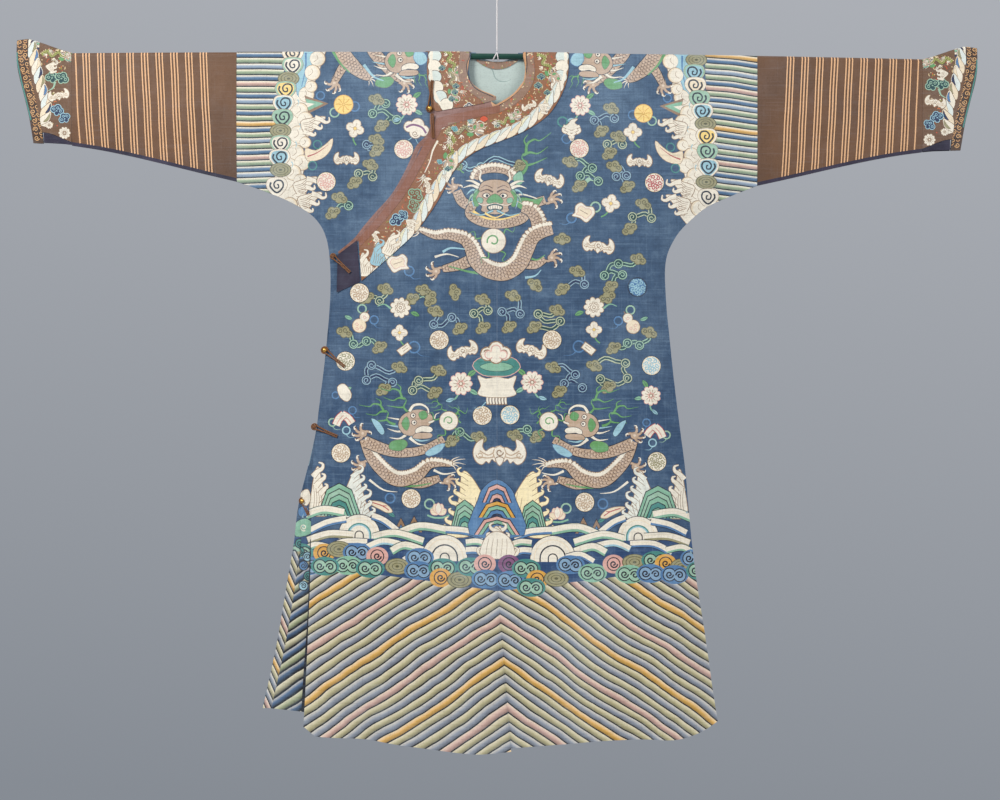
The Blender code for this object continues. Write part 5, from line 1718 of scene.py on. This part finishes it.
def folded(name, node, shapes, slot, paints, ground, rise=level_top, **hanging):
    """A cloth that lies over the rod: its front and its back in one piece, mapped one above the other."""
    whole = bmesh.new()
    for n, (side, seed) in enumerate(((-1, FRONT_SEED), (1, BACK_SEED))):
        form = Form(node, side, rise)
        drawn = shapes(form) if callable(shapes) else shapes
        half = hang(name, form, drawn, paints, ground, seed=seed, **hanging)
        layer = half.uv_layers["OFBake"]
        uv = np.empty(len(half.loops) * 2, np.float32)
        layer.uv.foreach_get("vector", uv)
        uv = uv.reshape(-1, 2)
        share = min(1.0, 0.5 / (1 - uv[:, 1].min()))
        uv[:, 0] *= share
        uv[:, 1] = 1 - (1 - uv[:, 1]) * share - 0.5 * n
        layer.uv.foreach_set("vector", uv.ravel())
        whole.from_mesh(half)
    mesh = bpy.data.meshes.new(name)
    whole.to_mesh(mesh)
    whole.free()
    for paint in paints:
        mesh.materials.append(paint)
    piece = link(name, mesh, slot, node)
    declare(form.outline, 2)
    return piece


robe_paints = [woven_silk, hem_silk, shoulder_silk, fold_silk, shaded_under_silk, inside_silk]
front = dict(folds=FRONT_CREASES, seed=FRONT_SEED)
back = dict(folds=BACK_CREASES, seed=BACK_SEED)
front_shapes, back_shapes = body_front(), body_back()
fold_shapes = stripes_below(552, 3)
under_shapes = stripes_below(560, 4, 330)
for name, node in (
    ("left_front_silk", "front_left"), ("lapped_front_silk", "front_overlap"),
    ("under_front_silk", "front_right"), ("side_fold_silk", "back_right_fold"),
):
    shapes = list(front_shapes)
    if node == "back_right_fold":
        shapes += fold_shapes
    if node == "front_right":
        shapes += under_shapes
    sheet(name, node, -1, shapes, "robe_silk", robe_paints, BLUE, **front)
for name, node in (("left_back_silk", "back_left"), ("right_back_silk", "back_right")):
    sheet(name, node, 1, back_shapes, "robe_silk", robe_paints, BLUE, **back)


# The striped sleeves
SLEEVE_CREASES = [  # x outwards from the middle
    (560, 120, 640, 90, 12.0, 1.4), (590, 190, 700, 160, 9.0, -1.5), (690, 60, 640, 150, 10.0, 1.3),
    (760, 150, 810, 60, 8.0, -1.0), (540, 40, 575, 200, 9.0, 1.0), (820, 60, 842, 150, 6.0, 0.9),
]
SHADE_STRIP_WIDE = 7.0  # of the dark navy strip along the underarm seam: painted shade for the shadow under the sleeve


def shaded_seam_edge(form):
    """A strip along the lower edge, in the sleeve's second silk, the dark navy: painted shade for the shadow under
    the sleeve.
    """
    below = []
    for x, drop in sorted(form.outline):
        lower = [spot for spot in form.outline if abs(spot[0] - x) < 8 and spot[1] > drop + 3]
        if drop > 150 and not lower:
            below.append((x, drop))
    return [(below + [(x, drop - SHADE_STRIP_WIDE) for x, drop in reversed(below)], 1)]


for end, way in (("left", 1), ("right", -1)):
    creases = [(way * a, b, way * c, d, e, f) for a, b, c, d, e, f in SLEEVE_CREASES]
    folded(
        f"{end}_striped_sleeve", f"sleeve_{end}", shaded_seam_edge, "sleeve_silk",
        [striped_silk, navy_silk, inside_silk], BROWN, folds=creases,
    )


# The flared cuffs
# Patterned brown silk with a rope border, a scrolled binding at its edge and a plain navy
# gusset below, each folded over the top like the sleeve and seamed underneath.
CROWN = ((850, 0), (874, 7), (904, 18), (922, 24), (938, 28), (960, 26))  # x, rise
BROCADE, BINDING = dye(108, 80, 58), dye(80, 58, 42)
FLECKS = (dye(196, 106, 58), dye(206, 186, 146), dye(134, 136, 60), dye(176, 78, 48), dye(222, 204, 166))


def crown(x):
    return np.interp(np.abs(x), *zip(*CROWN))


def walk(points, pitch):
    """Places at even steps along a smooth line, with the way ahead and the way across."""
    way = curved(points, per=8)
    length = np.concatenate([[0], np.cumsum(np.hypot(*np.diff(way, axis=0).T))])
    for mark in np.arange(0, length[-1], pitch):
        at = np.interp(mark, length, np.arange(len(way)))
        k = min(int(at), len(way) - 2)
        ahead = way[k + 1] - way[k]
        ahead = ahead / np.hypot(*ahead)
        yield way[k] + (way[k + 1] - way[k]) * (at - k), ahead, np.array([-ahead[1], ahead[0]])


def rope(d, points, width=9.0, pitch=9.5, lean=1, ends=(NAVY, OLIVE, STEEL, BONE)):
    """A twisted white cord: full strands parted by slanting lines, some blue or navy at one end."""
    half = width / 2
    d.line(points, width + 1.4, dye(74, 48, 36))
    d.line(points, width, CREAM)
    for n, (c, ahead, side) in enumerate(walk(points, pitch)):
        side = side * lean
        place = [c + ahead * pitch * a + side * half * b for a, b in
                 ((-0.9, -1.0), (-0.2, -1.25), (0.3, -0.7), (0.9, 1.15), (0.1, 1.15), (-0.4, 0.3))]
        d.blob(place, (CREAM, dye(214, 224, 222), BONE)[n % 3], dye(118, 88, 62), 0.45)
        end = [c + ahead * pitch * a + side * half * b for a, b in
               ((-0.75, -0.95), (-0.2, -1.1), (0.22, -0.6), (0.34, 0.1), (0.05, -0.25), (-0.35, -0.65))]
        d.blob(end, ends[n % len(ends)], dye(118, 88, 62), 0.25)


def scallops(d, points, radius=6.0, pitch=10.5, inward=1):
    """A cream edge with rounded scallops on its inner side."""
    d.line(points, radius * 1.5, TAN_SILK)
    for n, (c, ahead, side) in enumerate(walk(points, pitch)):
        x, y = c + side * inward * radius * 0.30
        d.disc(x, y, radius * 1.08 + 0.5, dye(90, 62, 44))
        d.disc(x, y, radius * 1.08, (CREAM, dye(204, 216, 212))[n % 2])
    d.line([c - side * inward * radius * 0.3 for c, ahead, side in walk(points, 4.0)], radius * 0.5, CREAM)


def flecks(d, points, width, count, seed):
    """Small woven dots and dashes scattered along a band."""
    chance = np.random.default_rng(seed)
    spots = list(walk(points, 1.0))
    for n in range(count):
        c, ahead, side = spots[int(chance.integers(len(spots)))]
        x, y = c + side * width * (chance.random() - 0.5) + ahead * chance.random()
        size = 0.4 + 0.4 * chance.random()
        if n % 3:
            d.disc(x, y, size, FLECKS[n % 5])
        else:
            turn = 360 * chance.random()
            d.at(x, y, turn=turn).line([(-1.4, 0), (0, 0.5), (1.4, 0)], 0.9, FLECKS[(n // 3) % 5])


def little_cloud(d, pale=SKY, deep=NAVY):
    for x, y, radius in ((-3.4, 0.6, 2.9), (3.4, 0.2, 2.9), (0, -2.2, 2.9), (0.6, 3.4, 2.0)):
        d.disc(x, y, radius + 0.8, pale)
    for x, y, radius in ((-3.4, 0.6, 2.9), (3.4, 0.2, 2.9), (0, -2.2, 2.9), (0.6, 3.4, 2.0)):
        d.disc(x, y, radius, deep)
    for x, y in ((-3.4, 0.6), (3.4, 0.2), (0, -2.2)):
        d.spiral(x, y, 1.7, pale, 0.6, 1.2, 60 * x)


def little_dragon(d, fill=dye(150, 156, 84)):
    """A small dragon, all curves at this size."""
    body = [(-14, 6), (-9, -1), (-3, 3), (2, -4), (8, -1), (13, -6)]
    d.line(body, 4.4, dye(60, 44, 36), 3.0)
    d.line(body, 3.4, fill, 2.2)
    for c, ahead, side in walk(body, 2.2):
        d.line([c + side * 0.8, c - side * 0.9], 0.5, dye(96, 78, 52))
        d.disc(*(c - side * 1.9), 0.7, FLECKS[1])
    for x, y, turn in ((-9, 3, 120), (0, 4, 70), (5, -6, -70)):
        p = d.at(x, y, 0.42, turn)
        for spread in (-40, 0, 40):
            p.at(0, 0, turn=spread).line([(0, 0), (6, -1), (9, 1)], 2.6, CREAM, 0.8)
    head = d.at(14, -7, 0.34)
    side_face(head)


cuff_brocade = dyed_silk("brown brocade", 0.16, 0.35)
cuff = Drawing()
flecks(cuff, [(44, 50), (56, 62), (66, 66)], 24, 90, 3)
flecks(cuff, [(52, 84), (62, 104), (56, 126)], 22, 24, 5)
for k, colour in enumerate((CREAM, JADE, CREAM, NAVY)):
    cuff.line([(27, 41 + 2.4 * k), (33, 40 + 2.6 * k), (40, 41.5 + 2.5 * k)], 1.9, colour)
rope(cuff, [(31, 40), (34, 54), (38, 71), (42.5, 88), (46.5, 101), (46.5, 113), (43.5, 126)], 8.4, 9.0)
for x, y in ((31, 84), (33, 92), (36, 101), (37.5, 110), (38, 119)):
    cuff.at(x, y, turn=70).blob([(-3, 0), (0, -1.5), (3, 0), (0, 1.5)], dye(110, 44, 40), TAN_SILK, 0.4)
little_cloud(cuff.at(53, 77, 1.05), MINT, MINT_DARK)
little_cloud(cuff.at(63, 78, 1.05, 30), MINT, MINT_DARK)
cuff.line([(56, 82), (54, 88), (49, 91)], 2.2, MINT, 0.6)
bat(cuff.at(59.5, 96, 0.98, -12))
little_cloud(cuff.at(58, 110, 1.0, 20), SKY, NAVY)
little_cloud(cuff.at(65, 118, 0.9, -30), SKY, NAVY)
peony(cuff.at(65, 133, 0.72), CREAM, TAN_SILK, TAN_SILK, False)
peony(cuff.at(50, 125, 0.45), CREAM, TAN_SILK, TAN_SILK, False)
little_dragon(cuff.at(56, 55, 0.9, 24))
foam(cuff.at(50, 70, 0.5, 40), 18, 1, 3)
for x, y, turn in ((50, 50, 60), (58, 60, 120), (66, 54, 40)):
    tail_hair(cuff.at(x, y, 0.42, turn), CREAM, BINDING)
flame(cuff.at(66, 60, 0.3, 60), JADE)

binding = Drawing()
binding_line = [(23, 38), (23, 50), (25, 62), (30, 84), (35, 104), (38, 122), (40, 140)]
for n, (c, ahead, side) in enumerate(walk(binding_line, 4.4)):
    x, y = c + side * (2.6 if n % 2 else -2.4)
    binding.disc(x, y, 3.0, dye(44, 28, 22))
    binding.spiral(x, y, 2.6, dye(206, 162, 112), 0.85, 1.35, 110 * n)
    x, y = c - side * (2.8 if n % 2 else -2.8)
    binding.line([(x - 1.8, y - 1.2), (x, y + 0.6), (x + 2.0, y - 0.8)], 0.9, dye(188, 140, 92))
teal_edge = [(17.8, 52), (18.4, 62), (23.0, 84), (28.0, 104), (31.6, 120)]
binding.line(teal_edge, 1.3, TEAL)


def raised(shapes, flip):
    """A cuff's shapes, measured from its own top fold, on the chosen side of the robe."""
    out = []
    for points, colour in shapes:
        level = [(x * -flip, drop + float(crown(x))) for x, drop in points]
        out.append((level, colour))
    return out


for end, way in (("left", 1), ("right", -1)):
    folded(
        f"{end}_flared_cuff", f"cuff_{end}", raised(cuff.shapes, way), "brocade",
        [cuff_brocade, inside_silk], BROCADE, rise=crown, spacing=6.0,
    )
    folded(
        f"{end}_cuff_edge", f"cuff_binding_{end}", raised(binding.shapes, way), "binding_silk",
        [cuff_brocade, inside_silk], BINDING, rise=crown, spacing=6.0,
    )
    folded(
        f"{end}_gusset", f"under_cuff_{end}", [], "navy_silk", [navy_silk, navy_silk], BROCADE,
        spacing=5.0, swell=0.0,
    )


# The collar and the plain bands
# Stiffened brown silk sewn on flat: a patterned collar with a rope or scalloped border, and a
# plain band with a gold piping at the neck and down the lapped edge.
BAND_WALL = 1.2
COLLAR_BROWN, BAND_BROWN = dye(136, 92, 62), dye(142, 112, 92)
over_front = dict(front, wall=BAND_WALL, spacing=6.0)
over_back = dict(back, wall=BAND_WALL, spacing=6.0)

PALE_ENDS = (dye(206, 218, 214), dye(222, 220, 190), dye(196, 214, 222))
outer = Drawing()
outer_middle = [(552, 46), (552, 74), (543, 92), (526, 110), (504, 121), (478, 128), (456, 138),
                (444, 156), (432, 178), (420, 202), (404, 224), (386, 244), (366, 262)]
flecks(outer, outer_middle, 26, 430, 11)
scallops(outer, [(563, 46), (564, 60), (563, 72), (560, 84), (556, 92)], 6.0, 10.5, 1)
rope(
    outer, [(556, 92), (551, 99), (545, 106), (536, 115.5), (524, 125), (508, 133), (490, 140), (475, 146.5),
            (462, 154.5), (453, 164), (445.6, 176), (437.5, 188), (428, 204), (418, 221), (408, 234),
            (397, 247), (384, 258)], 8.8, 11.5, -1, PALE_ENDS,
)
little_dragon(outer.at(546, 66, 0.95, 74))
little_dragon(outer.at(450, 150, 1.0, 112))
little_dragon(outer.at(506, 122, 0.8, -10))
little_dragon(outer.at(462, 132, 1.1, 12), OLIVE)
for x, y, size in ((541, 77, 0.6), (538, 86, 0.6), (547, 93, 0.5), (497, 126, 0.45), (448, 170, 0.5)):
    little_cloud(outer.at(x, y, size), MINT, NAVY)
for x, y, size in ((455, 130, 0.5), (471, 122, 0.5), (440, 163, 0.45)):
    little_cloud(outer.at(x, y, size, 30), SKY, TEAL)
outer.disc(468.5, 119, 3.4, BINDING, 2.2)
outer.disc(468.5, 119, 2.9, CREAM, 1.8)
outer.blob([(480, 120), (484, 117), (488, 120), (484, 123)], dye(200, 84, 52), BINDING, 0.4)
for x, y, turn, size in ((476, 121, 170, 0.55), (492, 124, 20, 0.7), (447, 126, 185, 0.9), (449, 140, 100, 0.8),
                         (510, 120, -40, 0.6), (424, 176, 110, 0.9), (442, 176, 60, 0.6)):
    tail_hair(outer.at(x, y, size, turn), CREAM, BINDING)
outer.line([(438, 142), (433, 152), (430, 163), (425, 174)], 2.0, CREAM, 0.8)
bat(outer.at(529, 107, 0.7, -24))
foam(outer.at(541, 110, 0.5, 60), 18, 1, 3)
bat(outer.at(428, 187, 0.75, 80))
little_cloud(outer.at(416, 196, 1.15, 40), JADE, dye(120, 84, 58))
little_cloud(outer.at(414, 207, 1.0, 80), JADE, dye(120, 84, 58))
little_cloud(outer.at(397, 221, 1.1, -20), SKY, NAVY)
little_cloud(outer.at(404, 216, 0.8, 50), SKY, NAVY)
bat(outer.at(377, 241, 0.8, 74))
for k, colour in enumerate((CREAM, SKY, CREAM)):
    foam(outer.at(368 + 11 * k, 276 - 10 * k, 0.85, -8 + 12 * k), 26, 1, 3, colour)
foam(outer.at(408, 226, 0.5, 70), 18, 1, 3)

inner = Drawing()
flecks(inner, [(450, 46), (448, 74), (456, 96), (474, 110)], 24, 190, 17)
scallops(inner, [(434, 46), (433, 60), (433, 76), (436, 92), (442, 104), (452, 112)], 6.0, 10.8, -1)
little_dragon(inner.at(451, 64, 0.95, 84))
little_dragon(inner.at(452, 86, 0.85, 100), OLIVE)
for x, y in ((456, 87), (455, 93), (452, 100), (442, 69)):
    little_cloud(inner.at(x, y, 0.5), MINT, NAVY)
little_cloud(inner.at(469, 107.5, 0.75), CREAM, NAVY)
tail_hair(inner.at(460, 92, 0.5, 40), CREAM, BINDING)

behind = Drawing()
turns = [math.radians(a) for a in range(0, 181, 15)]
behind_edge = [(497 + 66 * math.cos(a), 54 + 54 * math.sin(a) ** 0.8) for a in turns]
behind_middle = [(497 + 48 * math.cos(a), 54 + 32 * math.sin(a) ** 0.8) for a in turns]
flecks(behind, behind_middle, 26, 420, 23)
rope(behind, behind_edge, 8.8, 11.5, -1, PALE_ENDS)
for x, y, turn in ((546, 66, 74), (520, 84, 20), (474, 84, -20), (448, 66, -74)):
    little_dragon(behind.at(x, y, 0.95, turn))
bat(behind.at(497, 92, 0.9))
for x, y in ((534, 78), (508, 78), (486, 78), (460, 78)):
    little_cloud(behind.at(x, y, 0.7), SKY, NAVY)

neck_curve = [(524.6, 46), (524.8, 56), (525.2, 67), (521.5, 83), (512.5, 94.5), (502, 102), (497.6, 105)]
outer_edge = Drawing()
flecks(outer_edge, [(530, 46), (531, 74), (516, 98), (500, 108), (470, 113)], 9, 70, 29)
outer_edge.shape([(430, 108), (500, 96), (500, 118), (476, 121), (448, 124), (448, 260), (330, 300), (320, 240),
                  (430, 120)], EDGE_BROWN)
outer_edge.line(neck_curve, 1.6, PIPING)
outer_edge.line([(x + 1.6, y + 1.4) for x, y in neck_curve], 0.8, INK)
inner_edge = Drawing()
left_curve = [(471.5, 46), (471.8, 55), (469, 63), (469.6, 73), (474.5, 84.6), (482, 90.5), (489, 93.5),
              (495.5, 96.5)]
flecks(inner_edge, [(464, 46), (462, 72), (470, 92), (486, 106)], 9, 50, 31)
inner_edge.line(left_curve, 2.6, PIPING)
inner_edge.line([(x - 2, y + 1.6) for x, y in left_curve], 0.8, INK)
back_edge = Drawing()
flecks(back_edge, [(471, 55), (484, 62), (497, 64), (510, 62), (523, 55)], 9, 36, 37)

for name, node, side, shapes, ground, slot, hanging in (
    ("outer_collar", "collar_outer", -1, outer, COLLAR_BROWN, "brocade", over_front),
    ("inner_collar", "collar_inner", -1, inner, COLLAR_BROWN, "brocade", over_front),
    ("back_collar", "collar_back", 1, behind, COLLAR_BROWN, "brocade", over_back),
    ("outer_band", "band_outer", -1, outer_edge, BAND_BROWN, "plain_band", over_front),
    ("inner_band", "band_inner", -1, inner_edge, BAND_BROWN, "plain_band", over_front),
    ("back_band", "band_back", 1, back_edge, BAND_BROWN, "plain_band", over_back),
    ("neck_edge", "neck_facing", -1, back_edge, BAND_BROWN, "plain_band", over_back),
):
    silk = cuff_brocade if slot == "brocade" else band_silk
    lies_on = ["left_back_silk", "right_back_silk"] if side > 0 else ["left_front_silk", "lapped_front_silk"]
    lies_on = ["under_front_silk"] if name.startswith("inner") else lies_on
    sheet(name, node, side, shapes.shapes, slot, [silk, band_silk], ground, "laid", lies_on, **hanging)
sheet(
    "lap_end_silk", "lap_end", -1, [], "navy_silk", [navy_silk, navy_silk], BAND_BROWN, "laid",
    ["lapped_front_silk"], **over_front,
)


# The pale lining at the back of the neck
# One thin sheet of plain silk behind the neck opening, with soft creases from wear and painted shade as darker lines
# along two of them.
LINING_BLUE, CREASE_SHADE = dye(180, 196, 193), dye(140, 160, 158)
LINING_CREASES = [
    (-34, 22, -2, 48, 2.6, -1.0), (-2, 48, 30, 45, 2.6, -1.0), (27, 12, 26, 90, 3.4, 0.9),
    (-10, 20, -6, 110, 4.0, 0.8), (8, 60, 10, 140, 3.6, -0.8), (-30, 40, -20, 120, 5.0, 0.8),
]
crease_shade_lines = Drawing()
# Painted shade: darker lines along two creases of the lining.
crease_shade_lines.line([(486, 64), (492, 69), (495, 77), (499, 80.5)], 1.6, CREASE_SHADE, 0.6)
crease_shade_lines.line([(499, 80.5), (505, 81), (511, 79)], 1.2, CREASE_SHADE, 0.4)
sheet(
    "neck_lining", "lining_yoke", -1, crease_shade_lines.shapes, "lining_silk", [lining_silk, inside_silk],
    LINING_BLUE, folds=LINING_CREASES, seed=BACK_SEED, swell=-1.0, wall=1.0, spacing=5.0,
)


# The fastenings
# Gilt balls and knotted cord buttons, each held in the bight of a doubled brown cord that is
# stitched down along its length.
FASTENINGS = [  # number, ball's x, drop and radius, far end's x and drop, a cord knot or a ball
    (1, -134, 107, 5.0, -129, 50, "ball"), (2, -327, 402, 3.6, -293, 434, "knot"),
    (3, -344, 589, 5.0, -304, 622, "ball"), (4, -364, 742, 4.4, -318, 761, "knot"),
    (5, -389, 890, 4.4, -376, 918, "ball"),
]
LOOP_RADIUS, LOOP_SPREAD = 1.5, 1.7
loop_silk = braid("brown braided cord", dye(132, 88, 56), dye(62, 38, 26), 3.0)

gilt, tree, shader, place, _ = finish("worn gilt brass", 0.34, 0.9)
chased = noise(place, 700.0, (1, 1, 1), 3.0)
tarnish = noise(place, 160.0, (1, 1, 1), 3.0)
colour = mix(tarnish.between(0.4, 0.7), dye(226, 176, 92), dye(150, 100, 52))
tree.links.new(colour.out, shader.inputs["Base Color"])
tree.links.new(bump(chased, 0.0006).out, shader.inputs["Normal"])


def nearest_depth(node, x, drop):
    """The mean depth of a solid's points that are closest to a place."""
    points = [vert.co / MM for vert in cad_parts[node].data.vertices]
    z = rod_line(x) - ROD_DROP - drop
    points.sort(key=lambda p: math.hypot(p.x - x, p.z - z))
    return sum(p.y for p in points[:12]) / 12


def doubled_cord(name, node, start, end, ball):
    """Two strands side by side, joined by a bight that goes round a ball at the start."""
    start, end = Vector(start), Vector(end)
    lead = (end - start).normalized()
    length = (end - start).length
    across = Vector((-lead.y, lead.x))
    bight = ball + LOOP_RADIUS if ball else LOOP_SPREAD
    route = [(length * (1 - 0.12 * k), LOOP_SPREAD) for k in range(5)]
    first = math.asin(LOOP_SPREAD / bight) + 0.35 if ball else math.pi / 2
    for k in range(13):
        angle = first + (math.pi - first) * k / 12
        route.append((bight * math.cos(angle), bight * math.sin(angle)))
    route += [(along, -aside) for along, aside in reversed(route[:-1])]
    y_start, y_end = (nearest_depth(node, *spot) for spot in (start, end))
    points = []
    for along, aside in route:
        x, drop = start + lead * along + across * aside
        share = max(0.0, min(1.0, along / length))
        y = y_start + (y_end - y_start) * share
        points.append((x, y, rod_line(x) - ROD_DROP - drop))
    curve = cord_line(name, points, LOOP_RADIUS, loop_silk)
    return link(name, curve, "loop_cord", node)


for number, x, drop, radius, end_x, end_drop, kind in FASTENINGS:
    node = f"button_{number}"
    centre = sum((vert.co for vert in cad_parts[node].data.vertices), Vector())
    centre /= len(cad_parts[node].data.vertices)
    ball = bmesh.new()
    bmesh.ops.create_uvsphere(ball, u_segments=24, v_segments=16, radius=radius * MM)
    for vert in ball.verts:
        if kind == "knot":
            turn = math.atan2(vert.co.z, vert.co.x)
            vert.co *= 1 + 0.10 * math.sin(3 * turn + vert.co.y * 900)
    bmesh.ops.translate(ball, verts=ball.verts[:], vec=centre)
    mesh = bpy.data.meshes.new(f"{kind}_{number}")
    ball.to_mesh(mesh)
    ball.free()
    mesh.shade_smooth()
    mesh.materials.append(gilt if kind == "ball" else loop_silk)
    link(f"{kind}_{number}", mesh, "gilt" if kind == "ball" else "loop_cord", node)
    doubled_cord(f"button_cord_{number}", f"loop_{number}", (x, drop), (end_x, end_drop), radius)
doubled_cord("neck_cord", "neck_tab", (-129, 120), (-127, 166), 0.0)


# Bringing the scene up to date
bpy.context.view_layer.update()
